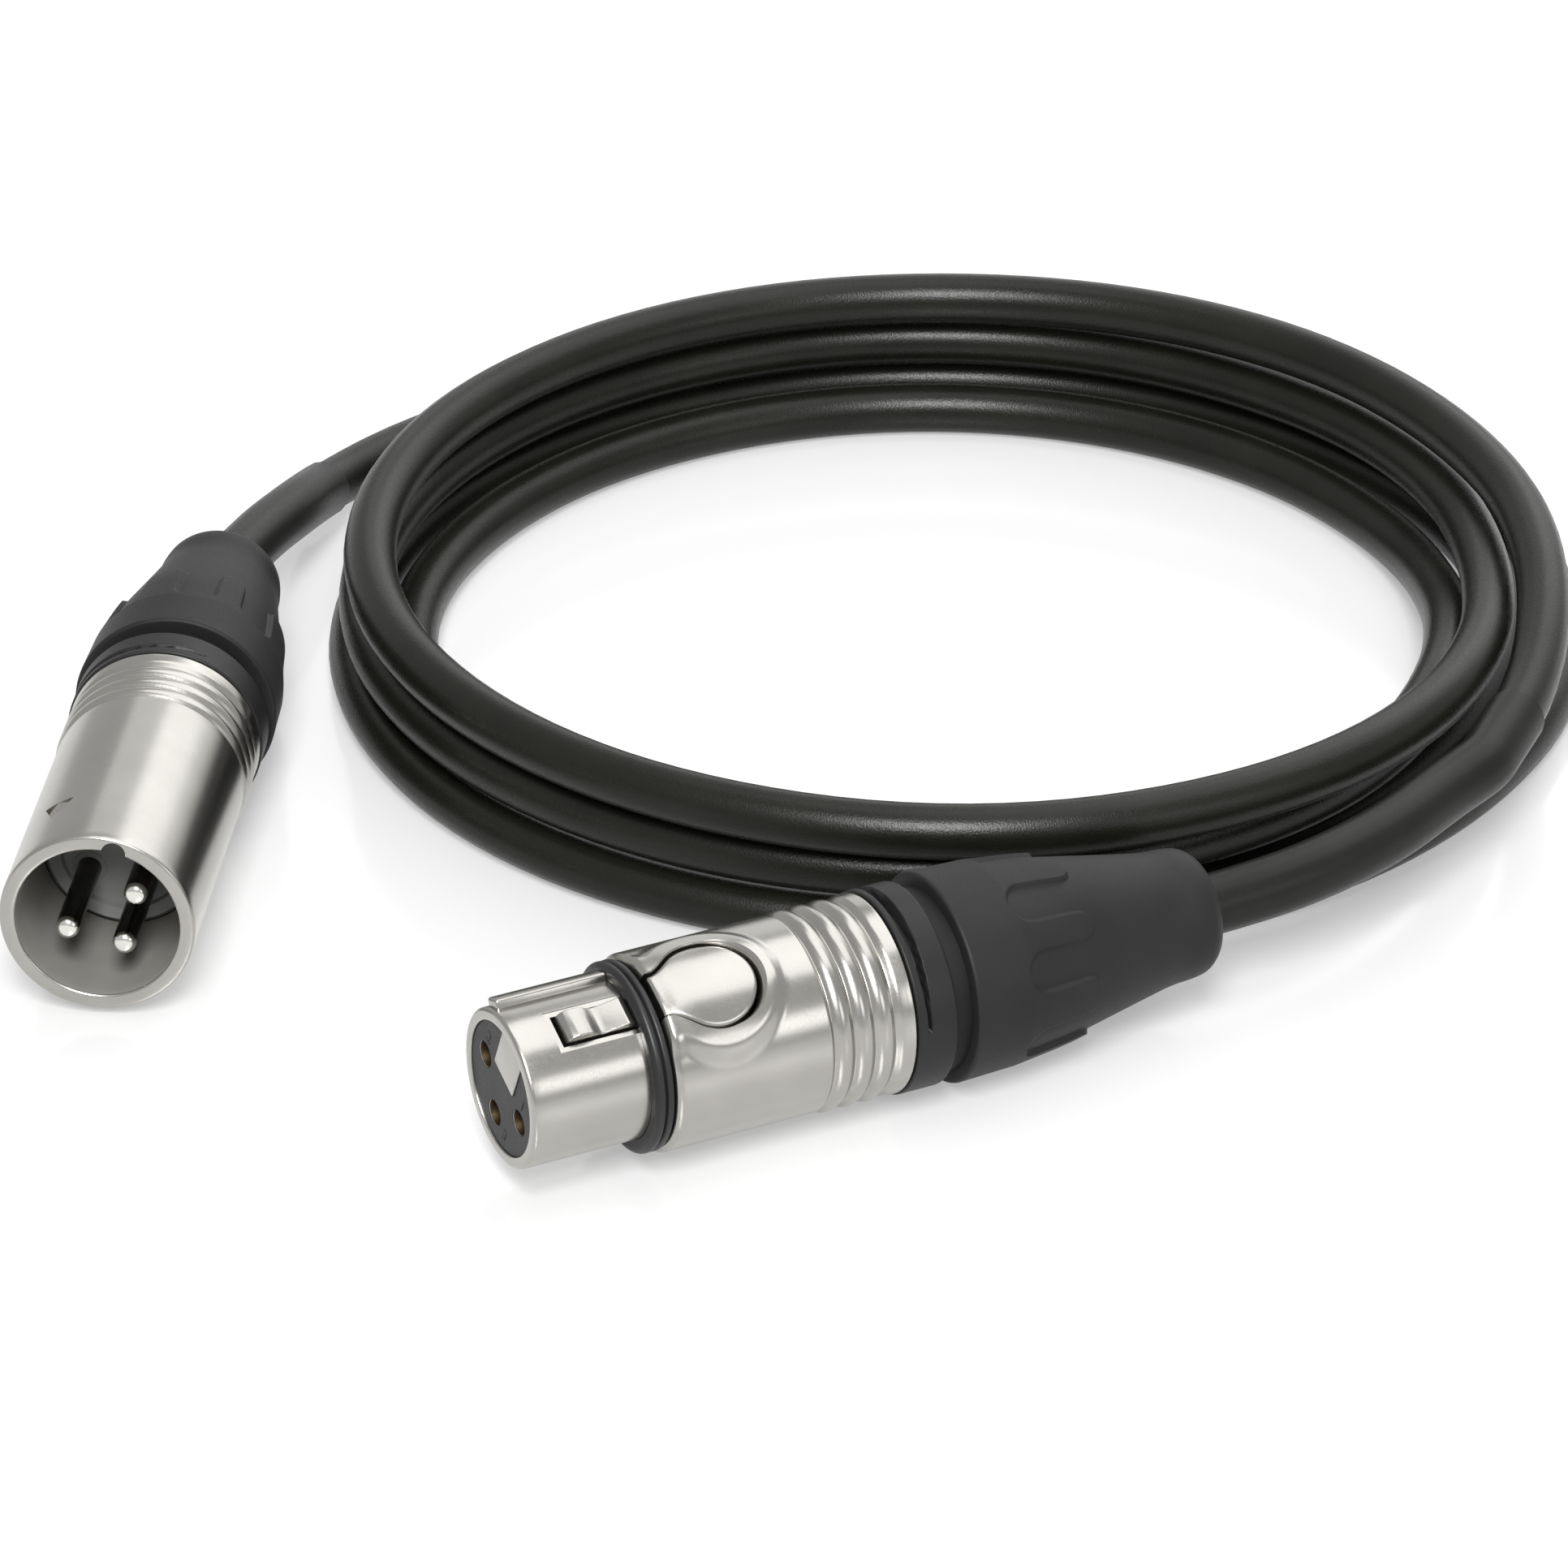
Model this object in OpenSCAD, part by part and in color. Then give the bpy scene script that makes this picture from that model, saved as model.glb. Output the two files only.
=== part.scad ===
// Microphone cable lying in a coil, with a latching socket connector at one end and a plug at the other.
// Millimetres, +Z up, floor at Z = 0. The origin is the floor point under the middle of the box around
// the two connectors, and the plug's axis lies along Y with its open rim towards -Y.

/* [Cable] */
// Diameter of the jacket
cable_d = 5.6; // [5.2:0.1:5.8]
// Diameter of the heat-shrink sleeve beside each connector
sleeve_d = 6.2; // [6.1:0.1:6.4]
// Room between a sleeve and the jacket inside it
sleeve_room = 0.06; // [0.04:0.01:0.1]
// Sides of the cable's tube
cable_sides = 12; // [8:4:12]
// Rings on each loop of the coil
loop_rings = 48; // [24:4:60]
// Rings on each span between two route points of a lead
lead_rings = 2; // [1:1:3]

/* [Connectors] */
// Radius of both shells at their smooth middle
shell_r = 9.65; // [9.5:0.05:9.75]
// Radius of the boots at their open front, which is also the height of both axes
boot_r = 10.45; // [10.3:0.05:10.6]
// Radius of the circle that the contacts stand on
contact_ring_r = 4.05; // [4:0.05:4.2]
// Diameter of the plug's pins
pin_d = 2.36; // [2.2:0.02:2.4]
// Turn of the socket about its axis, seen from its nose
female_roll = 26; // [0:1:45]
// Turn of the plug about its axis, seen from its rim
male_roll = -31; // [-45:1:0]

/* [Socket connector] */
// Radius of the nose
nose_r = 7.8; // [7.7:0.05:7.9]
// Length of the nose in front of the rubber ring
nose_length = 12; // [11.5:0.5:12.5]
// Width of the rubber ring along the nose
ring_width = 1.85; // [1.6:0.05:1.9]
// Radius of the rubber ring's ridges
ring_r = 9.3; // [9:0.1:9.4]
// Length of the whole shell
female_shell_length = 38.9; // [38.5:0.1:39.5]
// Radius of the black insert
insert_r = 6.55; // [6.4:0.05:6.6]
// Width of the latch hook
hook_width = 3.2; // [3:0.1:3.3]
// Radius of the paddle's round end
paddle_r = 4.6; // [4.4:0.1:4.8]
// Gap around the paddle in the shell
paddle_gap = 0.7; // [0.6:0.05:0.9]
// Diameter of the latch pin
latch_pin_d = 1.2; // [1:0.1:1.3]
// Turns of the latch spring
spring_turns = 4; // [3:1:5]

/* [Plug connector] */
// Length of the whole shell
male_shell_length = 37.7; // [37:0.1:38.5]
// Radius of the shell's bore
socket_bore_r = 8.1; // [8:0.05:8.2]
// Depth of the bore in front of the insert
socket_depth = 14.5; // [14:0.5:15.5]
// Depth of the pin tips behind the rim
pin_inset = 1.9; // [1.5:0.1:3]
// Radius of the keyway groove
keyway_r = 1.2; // [1:0.05:1.25]

/* [Boots] */
// Length of a boot
boot_length = 31.3; // [30:0.1:33]
// Height of the raised wave over the boot's cone
wave_height = 0.5; // [0.3:0.05:0.6]
// Groups of two hollows around the boot
wave_groups = 4; // [3:1:5]
// Width of a hollow between two fingers
wave_hollow = 3.1; // [2.4:0.1:3.4]
// Fits that stay still, as room on each side
still_room = 0.05; // [0.02:0.01:0.08]

/* [Hidden] */
fine = 64;
small = 32;
eps = 0.01;
cable_r = cable_d / 2;
sleeve_r = sleeve_d / 2;
axis_height = boot_r;

// Places on the floor: the nose face of the socket, the rim of the plug, and the coil's middle.
female_place = [-6.9, -47.8, axis_height];
female_yaw = 32.3;
male_place = [-49.9, -21.1, axis_height];
male_yaw = 90;
coil_middle = [27.3, 61];
coil_turn_zero = 5.5;

// Stations of the coil: how many turns from its right side, then how far out or how high it runs.
coil_start = -0.1;
coil_end = 4.42;
coil_reach = [
    [-0.16, 73.4], [-0.125, 70.4], [-0.09, 67.1], [-0.03, 62.2], [0, 61], [0.06, 59.2], [0.25, 59.6],
    [0.5, 61.8], [0.75, 64.4], [0.88, 61.3], [0.94, 58.3], [1, 55.8], [1.1, 59.5], [1.25, 61.9],
    [1.5, 62.7], [1.75, 61.3], [1.87, 57.4], [1.94, 54.1], [2, 52.2], [2.06, 53.7], [2.25, 56.4],
    [2.5, 58], [2.75, 54.1], [2.92, 55.2], [2.96, 57.3], [3, 58.9], [3.05, 60.2], [3.12, 62],
    [3.25, 63.9], [3.5, 64], [3.75, 61.4], [3.9, 62.1], [4, 65.3], [4.12, 68.8], [4.25, 70.6],
    [4.34, 73], [4.42, 75.6], [4.5, 77]
];
coil_height = [
    [-0.16, 11.8], [-0.1, 12.6], [-0.06, 14.5], [-0.03, 15.5], [0, 16.1], [0.08, 15.7], [0.25, 15],
    [0.75, 15], [0.88, 14.4], [0.94, 13.7], [1, 11.5], [1.05, 9.7], [1.12, 8.9], [1.96, 8.9],
    [1.99, 6.8], [2.02, 4.7], [2.07, 2.8], [2.93, 2.8], [2.97, 3.3], [3, 4.5], [3.04, 4.5], [3.1, 2.8],
    [4.36, 2.8], [4.42, 4.5], [4.5, 6.4]
];
// How far along a turn the stations are blended into each other.
coil_blend = 0.03;

// Routes of the two leads between the boots and the coil.
female_route = [[66.2, -1.5, 11.1], [74, 6.3, 11.6], [80, 15.2, 12]];
male_route = [[-48.3, 64, 9.3], [-46.1, 75, 7.5]];
lead_step = 14;

// Ends of the coil.
coil_in = coil_point(coil_start);
coil_in_way = coil_way(coil_start);
coil_out = coil_point(coil_end);
coil_out_way = coil_way(coil_end);

// Socket connector, measured along its axis from the nose face.
nose_edge = 0.4;
flange_t = nose_length + ring_width + still_room;
flange_round = 0.6;
insert_face = 0.25;
insert_end = 20.2;
insert_bore_r = insert_r + still_room;
thread_r = 8.3;
tail_bore_r = thread_r + still_room;
key_angle = -45;
key_width = 2;
key_height = 0.9;
key_start = 0.6;
rib_start = 8.7;
rib_pitch = 2.15;
rib_count = 3;
rib_dip = 0.3;
rib_rise = 0.25;

// Tongue behind the nose face that carries the latch pin, and the slot that the latch lies in.
tongue_floor = 1.75;
tongue_front_half = 2.15;
tongue_half = 2.7;
tongue_front = 1.5;
slot_half = hook_width / 2 + 0.15;
slot_start = 1.6;
window_start = 4.5;
pivot_t = 2.9;
pivot_x = 4.7;
knuckle_r = 1.05;
hook_front = window_start + 0.85;
hook_back = hook_front + 2.5;
hook_top = nose_r + 0.4;
arm_top = nose_r - 0.5;
arm_depth = 1.4;
arm_under = arm_top - arm_depth;
arm_dip = 0.3;
neck_half = 2.25;
neck_t = flange_t + 0.4;
paddle_t = 19.8;
paddle_top = shell_r + 0.3;
paddle_under = 8.5;
lip_r = shell_r + 0.35;
lip_reach = 1.5;
paddle_flare = 18;
spring_t = 18;
spring_r = 1.5;
spring_wire_r = 0.2;
spring_floor = 3.4;

// Plug connector, measured along its axis from the rim.
rim_edge = 0.4;
insert_thickness = 6.5;
male_insert_end = socket_depth + insert_thickness;
insert_lip = 0.5;
insert_well_r = contact_ring_r + 2.1;
catch_front = 4.3;
catch_length = 3.3;
catch_half = 1.6;
catch_pocket = 0.7;

// Contacts, and the wires from them to the end of the cable.
contact_r = 1.6;
contact_bore_r = pin_d / 2 + 0.02;
contact_hole_r = 1.35;
contact_front = 1.3;
contact_bore_end = 13;
contact_end = insert_end + 3.8;
male_contact_end = male_insert_end + 3;
cup_r = 0.8;
cup_depth = 3;
wire_r = 0.7;
wire_bundle_r = 1.4;
contact_turns = [90, 180, -90];
pin_root_r = pin_d / 2 + 0.5;

// Tail shared by both connectors, measured from the rear edge of the shell.
collar_gap = 0.1;
collar_length = 4.3;
collar_r = 10.05;
collar_slit = [0.9, 1.6];
collar_slit_depth = 0.9;
collar_slit_turn = [-70, 86];
bush_flange = [4.5, 6.25];
bush_flange_r = 9.1;
bush_front = -7;
bush_inner_r = 6.6;
bush_sleeve_r = 8.75;
bush_end = 20;
bush_tip_r = bush_sleeve_r - 1.2;
boot_front = 6.3;
boot_end = boot_front + boot_length;
wave_pair = [32, 70];
wave_root = boot_front + 6.2;
wave_end = boot_front + 14.7;
wave_edge = 0.4;
hollow_skin = 0.05;
band_drop = 0.2;
shoulder_r = 9.1;
shoulder_t = boot_front + 12;
cone_r = 8.65;
cone_mid_r = 7.1;
cone_mid_t = boot_end - 8.9;
waist_r = 6.6;
waist_t = boot_end - 5.9;
end_round = 3;
cable_stub = 5.9;
chuck_front = -8;
chuck_r = bush_inner_r - still_room;
chuck_end = 16.5;
chuck_nose_r = 4.4;
chuck_taper = 8;
chuck_slit = 0.8;
boot_bore_r = bush_sleeve_r + still_room;
boot_mouth_r = sleeve_r + 0.12;
female_tail = female_shell_length;
male_tail = male_shell_length;

// Vectors.
function unit(v) = v / norm(v);
function total(list) = list * [for (k = [1:len(list)]) 1];

// Coil: a station value blended over a short stretch, the point at a turn, and the way it runs there.
function blended(table, turn) =
    total([for (k = [-3:3]) lookup(turn + k * coil_blend / 3, table)]) / 7;
function coil_point(turn) =
    let (reach = blended(coil_reach, turn), angle = coil_turn_zero + 360 * turn)
    [coil_middle.x + reach * cos(angle), coil_middle.y + reach * sin(angle), blended(coil_height, turn)];
function coil_way(turn) = unit(coil_point(turn + 0.005) - coil_point(turn - 0.005));

// Points of the coil, with one straight cable diameter at each end.
coil_steps = floor((coil_end - coil_start) * loop_rings);
coil_turns = [for (k = [0:coil_steps]) coil_start + (coil_end - coil_start) * k / coil_steps];
coil_points = concat(
    [coil_in - cable_d * coil_in_way],
    [for (turn = coil_turns) coil_point(turn)],
    [coil_out + cable_d * coil_out_way]
);
coil_head = coil_points[0];
coil_tail = coil_points[len(coil_points) - 1];

// Leads: straight through the tail of a connector, over the route points, and into the end of the coil.
female_way = [cos(female_yaw), sin(female_yaw), 0];
male_way = [cos(male_yaw), sin(male_yaw), 0];
function female_axis(t) = female_place + t * female_way;
function male_axis(t) = male_place + t * male_way;
function curve(a, b, c, d, s) =
    0.5 * (2 * b + (c - a) * s + (2 * a - 5 * b + 4 * c - d) * s * s + (3 * b - a - 3 * c + d) * s * s * s);
function through(stops) = concat(
    [for (k = [0:len(stops) - 4]) for (s = [0:lead_rings - 1])
        curve(stops[k], stops[k + 1], stops[k + 2], stops[k + 3], s / lead_rings)],
    [stops[len(stops) - 2]]
);
female_lead = through(concat(
    [for (k = [-1:3]) female_axis(female_tail - cable_stub + k * lead_step)],
    female_route, [coil_head, coil_in]
));
male_lead = through(concat(
    [for (k = [-1:3]) male_axis(male_tail - cable_stub + k * lead_step)],
    male_route, [coil_tail, coil_out]
));
// Rings of a lead that lie in front of its sleeve, inside the connector.
bare_rings = 3 * lead_rings - 1;

// Least gap between two stretches of the coil that are at least half a loop apart, on finer points.
gap_rings = 96;
gap_points = [for (turn = [coil_start:1 / gap_rings:coil_end]) coil_point(turn)];
function least_gap(points, apart) = min([
    for (i = [0:len(points) - apart - 1]) for (j = [i + apart:len(points) - 1]) norm(points[i] - points[j])
]) - cable_d;
echo("least gap of the coil to itself", least_gap(gap_points, gap_rings / 2));

// Directions along a list of points, with the first and last given.
function ways(points, first, last) = [
    for (k = [0:len(points) - 1])
        k == 0 ? first : k == len(points) - 1 ? last : unit(points[k + 1] - points[k - 1])
];
function ring(point, way, r, sides) =
    let (side = unit(cross(way, [0, 0, 1])), up = cross(side, way))
    [for (k = [0:sides - 1]) let (a = (k + 0.5) * 360 / sides) point + r * cos(a) * side + r * sin(a) * up];
function flat(lists) = [for (list = lists) for (item = list) item];
function wall(rings, sides, first, inward) = [
    for (i = [0:rings - 2]) for (k = [0:sides - 1])
        let (a = first + i * sides + k, b = first + i * sides + (k + 1) % sides)
        let (c = a + sides, d = b + sides)
        for (face = inward ? [[a, c, b], [b, c, d]] : [[a, b, c], [b, d, c]]) face
];

// Solid tube along points.
module tube(points, directions, r, sides) {
    count = len(points);
    last = (count - 1) * sides;
    faces = concat(
        wall(count, sides, 0, false),
        [for (k = [1:sides - 2]) [0, k + 1, k]],
        [for (k = [1:sides - 2]) [last, last + k, last + k + 1]]
    );
    polyhedron(flat([for (k = [0:count - 1]) ring(points[k], directions[k], r, sides)]), faces);
}

// Hollow tube along points.
module pipe(points, directions, r, inner_r, sides) {
    count = len(points);
    half = count * sides;
    last = (count - 1) * sides;
    outer = [for (k = [0:count - 1]) ring(points[k], directions[k], r, sides)];
    inner = [for (k = [0:count - 1]) ring(points[k], directions[k], inner_r, sides)];
    front = [for (k = [0:sides - 1]) let (n = (k + 1) % sides)
        for (face = [[k, half + k, half + n], [k, half + n, n]]) face];
    back = [for (k = [0:sides - 1]) let (n = (k + 1) % sides, o = last, h = half + last)
        for (face = [[o + k, h + n, h + k], [o + k, o + n, h + n]]) face];
    polyhedron(
        flat(concat(outer, inner)),
        concat(wall(count, sides, 0, false), wall(count, sides, half, true), front, back)
    );
}

// Places: local Z runs from the mating face to the tail, local X points up.
module on_axis(place, yaw) {
    translate(place) rotate([0, 0, yaw]) rotate([0, 90, 0]) rotate([0, 0, 180]) children();
}
module on_female() {
    on_axis(female_place, female_yaw) children();
}
module on_male() {
    on_axis(male_place, male_yaw) children();
}
module on_latch() {
    on_female() rotate([0, 0, female_roll]) children();
}
module on_catch() {
    on_male() rotate([0, 0, male_roll]) children();
}
module turned(profile) {
    rotate_extrude($fn = fine) polygon(profile);
}
module drilled(r, from, to) {
    translate([0, 0, from]) cylinder(r = r, h = to - from, $fn = small);
}
module block(low, high) {
    translate(low) cube(high - low);
}
// A flat outline across the latch, drawn as sideways and along, pushed out from the axis.
module outwards(reach) {
    rotate([90, 0, 90]) linear_extrude(reach) children();
}
// A flat outline in the plane of the latch, drawn as outwards and along.
module sideways(width) {
    rotate([90, 0, 0]) linear_extrude(width, center = true) children();
}

// Ribbed rear of a shell as profile points that end at the given length.
function ribs(length) = concat(
    [[shell_r, length - rib_start]],
    [for (k = [0:rib_count - 1]) let (t = length - rib_start + k * rib_pitch)
        for (p = [[shell_r - rib_dip, t + 0.2], [shell_r + rib_rise - 0.1, t + 0.6],
                  [shell_r + rib_rise, t + 1.1], [shell_r + rib_rise - 0.1, t + 1.6]]) p],
    [[shell_r - rib_dip, length - rib_start + rib_count * rib_pitch],
     [shell_r + rib_rise, length - rib_start + rib_count * rib_pitch + 0.5],
     [shell_r + rib_rise, length]]
);

// Paddle outline: a neck that flares into a round end.
module paddle_outline(grow) {
    translate([0, paddle_t]) circle(paddle_r + grow, $fn = fine);
    polygon([
        [-neck_half - grow, neck_t - grow], [neck_half + grow, neck_t - grow],
        [neck_half + 0.3 + grow, paddle_flare - 2.5], [paddle_r - 0.4 + grow, paddle_flare],
        [-paddle_r + 0.4 - grow, paddle_flare], [-neck_half - 0.3 - grow, paddle_flare - 2.5]
    ]);
}

// Socket connector.
module female_shell() {
    color("silver") on_latch() difference() {
        union() {
            turned(concat(
                [[insert_bore_r, 0], [nose_r - nose_edge, 0], [nose_r, nose_edge], [nose_r, flange_t],
                 [shell_r - flange_round, flange_t], [shell_r - 0.2, flange_t + 0.2],
                 [shell_r, flange_t + flange_round]],
                ribs(female_shell_length),
                [[tail_bore_r, female_shell_length], [tail_bore_r, insert_end + still_room],
                 [insert_bore_r, insert_end + still_room]]
            ));
            intersection() {
                drilled(insert_bore_r + 0.4, 0, nose_length);
                union() {
                    block([tongue_floor, -tongue_front_half, 0], [nose_r, tongue_front_half, nose_length]);
                    block([tongue_floor, -tongue_half, tongue_front], [nose_r, tongue_half, nose_length]);
                }
            }
            rotate([0, 0, key_angle])
                block([nose_r - 0.6, -key_width / 2, key_start],
                    [nose_r + key_height, key_width / 2, nose_length]);
            intersection() {
                difference() {
                    drilled(lip_r, neck_t + 2, female_shell_length - rib_start);
                    drilled(shell_r - 0.8, 0, female_shell_length);
                }
                outwards(2 * shell_r) translate([0, paddle_t]) circle(paddle_r + lip_reach, $fn = fine);
            }
        }
        latch_room();
    }
}

// Room for the latch: slot under the nose, window, notch through the flange, and the paddle's opening.
module latch_room() {
    block([0, -slot_half, slot_start], [insert_bore_r - 0.5, slot_half, flange_t]);
    block([0, -slot_half, window_start], [2 * nose_r, slot_half, flange_t + 1]);
    block([0, -neck_half - 0.2, nose_length + 0.2], [insert_bore_r, neck_half + 0.2, insert_end]);
    outwards(2 * shell_r) paddle_outline(paddle_gap - 0.3);
    outwards(2 * shell_r) translate([0, paddle_t]) circle(paddle_r + paddle_gap, $fn = fine);
    for (side = [-1, 1])
        translate([0, side * (slot_half + tongue_half) / 2, 0])
            sideways(tongue_half - slot_half + 2 * eps) pin_slot();
}

// Slot that opens towards the insert and ends round at the latch pin.
module pin_slot() {
    translate([pivot_x, pivot_t]) circle(latch_pin_d / 2 + still_room, $fn = small);
    translate([0, pivot_t - latch_pin_d / 2 - still_room]) square([pivot_x, latch_pin_d + 2 * still_room]);
}

module female_insert() {
    color("#202122") on_latch() difference() {
        drilled(insert_r, insert_face, insert_end);
        block([tongue_floor - 0.1, -tongue_front_half - still_room, 0],
            [nose_r, tongue_front_half + still_room, nose_length]);
        block([tongue_floor - 0.1, -tongue_half - still_room, tongue_front - 0.1],
            [nose_r, tongue_half + still_room, nose_length + 0.2]);
        block([spring_floor, -tongue_half - 0.6, nose_length], [nose_r, tongue_half + 0.6, insert_end + 1]);
        for (turn = contact_turns) at_contact(turn) {
            drilled(contact_hole_r, 0, contact_front + eps);
            drilled(contact_r + still_room, contact_front, insert_end + 1);
        }
    }
}

module at_contact(turn) {
    rotate([0, 0, turn]) translate([contact_ring_r, 0, 0]) children();
}

module female_contact(index) {
    color("gold") on_latch() at_contact(contact_turns[index]) turned([
        [0, contact_bore_end], [contact_bore_r, contact_bore_end], [contact_bore_r, contact_front],
        [contact_r, contact_front], [contact_r, insert_end], [contact_r - 0.3, insert_end],
        [contact_r - 0.3, contact_end], [cup_r, contact_end], [cup_r, contact_end - cup_depth],
        [0, contact_end - cup_depth]
    ]);
}

module nose_ring() {
    half = ring_width / 4;
    color("#1c1c1d") on_latch() turned([
        [nose_r + still_room, nose_length], [ring_r - 0.35, nose_length], [ring_r, nose_length + half * 0.5],
        [ring_r, nose_length + half * 1.3], [ring_r - 0.4, nose_length + half * 2],
        [ring_r, nose_length + half * 2.7], [ring_r, nose_length + half * 3.5],
        [ring_r - 0.35, nose_length + ring_width], [nose_r + still_room, nose_length + ring_width]
    ]);
}

module latch_lever() {
    color("lightgray") on_latch() difference() {
        union() {
            sideways(hook_width) {
                translate([pivot_x, pivot_t]) circle(knuckle_r, $fn = small);
                polygon([
                    [pivot_x + 0.9, pivot_t], [insert_bore_r - 0.9, window_start - 0.3],
                    [insert_bore_r - 0.7, hook_front - 0.15], [hook_top - 0.2, hook_front],
                    [hook_top, hook_front + 0.5], [hook_top, hook_back],
                    [arm_top - arm_dip, hook_back + 0.4],
                    [arm_top, nose_length - 0.6], [arm_top, neck_t], [paddle_under + 0.7, neck_t + 0.1],
                    [paddle_under + 0.7, paddle_flare - 1], [arm_top - 0.1, neck_t + 1.5],
                    [arm_under, neck_t - 0.9], [arm_under - 0.5, hook_back + 0.4],
                    [pivot_x - 0.7, window_start - 0.3], [pivot_x - 0.9, pivot_t]
                ]);
            }
            intersection() {
                turned([
                    [paddle_under, neck_t], [shell_r - 0.3, neck_t], [shell_r + 0.1, neck_t + 0.6],
                    [paddle_top, neck_t + 2.4], [paddle_top - 0.15, paddle_t], [paddle_top, paddle_t + 3.4],
                    [paddle_top - 0.3, paddle_t + paddle_r], [paddle_under, paddle_t + paddle_r]
                ]);
                outwards(2 * shell_r) paddle_outline(0);
            }
            translate([paddle_under - 1.4, 0, spring_t]) rotate([0, 90, 0])
                cylinder(r = spring_r - spring_wire_r - 0.3, h = 2, $fn = small);
        }
        translate([pivot_x, 0, pivot_t]) rotate([90, 0, 0])
            cylinder(r = latch_pin_d / 2 + 0.04, h = 3 * hook_width, center = true, $fn = small);
    }
}

module latch_pin() {
    color("dimgray") on_latch() translate([pivot_x, 0, pivot_t]) rotate([90, 0, 0])
        cylinder(r = latch_pin_d / 2, h = 2 * tongue_half - 0.1, center = true, $fn = small);
}

module latch_spring() {
    low = spring_floor + spring_wire_r + 0.02;
    high = paddle_under - 0.25 - spring_wire_r;
    steps = 10 * spring_turns;
    points = [for (k = [0:steps]) let (a = 360 * spring_turns * k / steps)
        [low + (high - low) * k / steps, spring_r * cos(a), spring_t + spring_r * sin(a)]];
    ends = len(points) - 1;
    color("gray") on_latch()
        tube(points, ways(points, unit(points[1] - points[0]), unit(points[ends] - points[ends - 1])),
            spring_wire_r, 6);
}

// Plug connector.
module male_shell() {
    color("silver") on_catch() difference() {
        turned(concat(
            [[socket_bore_r, rim_edge], [socket_bore_r + rim_edge, 0], [shell_r - rim_edge, 0],
             [shell_r, rim_edge]],
            ribs(male_shell_length),
            [[tail_bore_r, male_shell_length], [tail_bore_r, male_insert_end + still_room],
             [socket_bore_r, male_insert_end + still_room]]
        ));
        rotate([0, 0, -key_angle]) translate([socket_bore_r, 0, -1])
            cylinder(r = keyway_r, h = socket_depth + 1, $fn = small);
        sideways(hook_width + 2 * catch_half / 5) translate([0, catch_front])
            square([socket_bore_r + catch_pocket, catch_length + 1]);
        outwards(2 * shell_r)
            polygon([
                [-catch_half, catch_front], [catch_half, catch_front], [0, catch_front + catch_length]
            ]);
    }
}

module male_insert() {
    color("#3a3b3d") on_catch() difference() {
        turned([
            [0, socket_depth], [insert_well_r, socket_depth],
            [insert_well_r + 0.2, socket_depth - insert_lip],
            [socket_bore_r - insert_lip, socket_depth - insert_lip],
            [socket_bore_r - still_room, socket_depth],
            [socket_bore_r - still_room, male_insert_end], [0, male_insert_end]
        ]);
        for (turn = contact_turns) at_contact(turn)
            drilled(pin_root_r + still_room, 0, male_insert_end + 1);
    }
}

module male_pin(index) {
    tip = pin_d / 2;
    color("gainsboro") on_catch() at_contact(contact_turns[index]) turned(concat(
        [for (a = [0:15:90]) [tip * sin(a), pin_inset + tip * (1 - cos(a))]],
        [[tip, socket_depth - insert_lip], [pin_root_r, socket_depth - insert_lip / 2],
         [pin_root_r, male_contact_end], [cup_r, male_contact_end],
         [cup_r, male_contact_end - cup_depth], [0, male_contact_end - cup_depth]]
    ));
}

// Pieces of the tail, measured from the rear edge of a shell.
module coding_ring(tail) {
    color("#242425") translate([0, 0, tail]) difference() {
        turned([
            [thread_r + still_room, collar_gap], [collar_r - 0.2, collar_gap], [collar_r, collar_gap + 0.2],
            [collar_r, collar_length - 0.3], [collar_r - 0.3, collar_length],
            [thread_r + still_room, collar_length]
        ]);
        intersection() {
            difference() {
                drilled(collar_r + 1, collar_slit[0], collar_slit[1]);
                drilled(collar_r - collar_slit_depth, 0, collar_length);
            }
            rotate([0, 0, collar_slit_turn[0]])
                rotate_extrude(angle = collar_slit_turn[1] - collar_slit_turn[0], $fn = fine)
                    square([collar_r + 1, collar_length]);
        }
    }
}

module bushing(tail) {
    color("#2b2b2c") translate([0, 0, tail]) turned([
        [bush_inner_r, bush_front], [thread_r, bush_front], [thread_r, bush_flange[0]],
        [bush_flange_r, bush_flange[0]], [bush_flange_r, bush_flange[1]], [bush_sleeve_r, bush_flange[1]],
        [bush_sleeve_r, wave_root], [bush_tip_r, bush_end], [chuck_nose_r + 0.6, bush_end],
        [chuck_nose_r + 0.6, chuck_end], [bush_inner_r, chuck_taper]
    ]);
}

module chuck(tail) {
    color("#8c8f94") translate([0, 0, tail]) difference() {
        turned([
            [cable_r + still_room, chuck_front], [chuck_r, chuck_front], [chuck_r, chuck_taper],
            [chuck_nose_r + 0.4, chuck_end - 0.3], [chuck_nose_r, chuck_end],
            [cable_r + still_room, chuck_end]
        ]);
        for (turn = [0, 90])
            rotate([0, 0, turn])
                block([-chuck_r - 1, -chuck_slit / 2, 0], [chuck_r + 1, chuck_slit / 2, chuck_end + 1]);
    }
}

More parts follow.
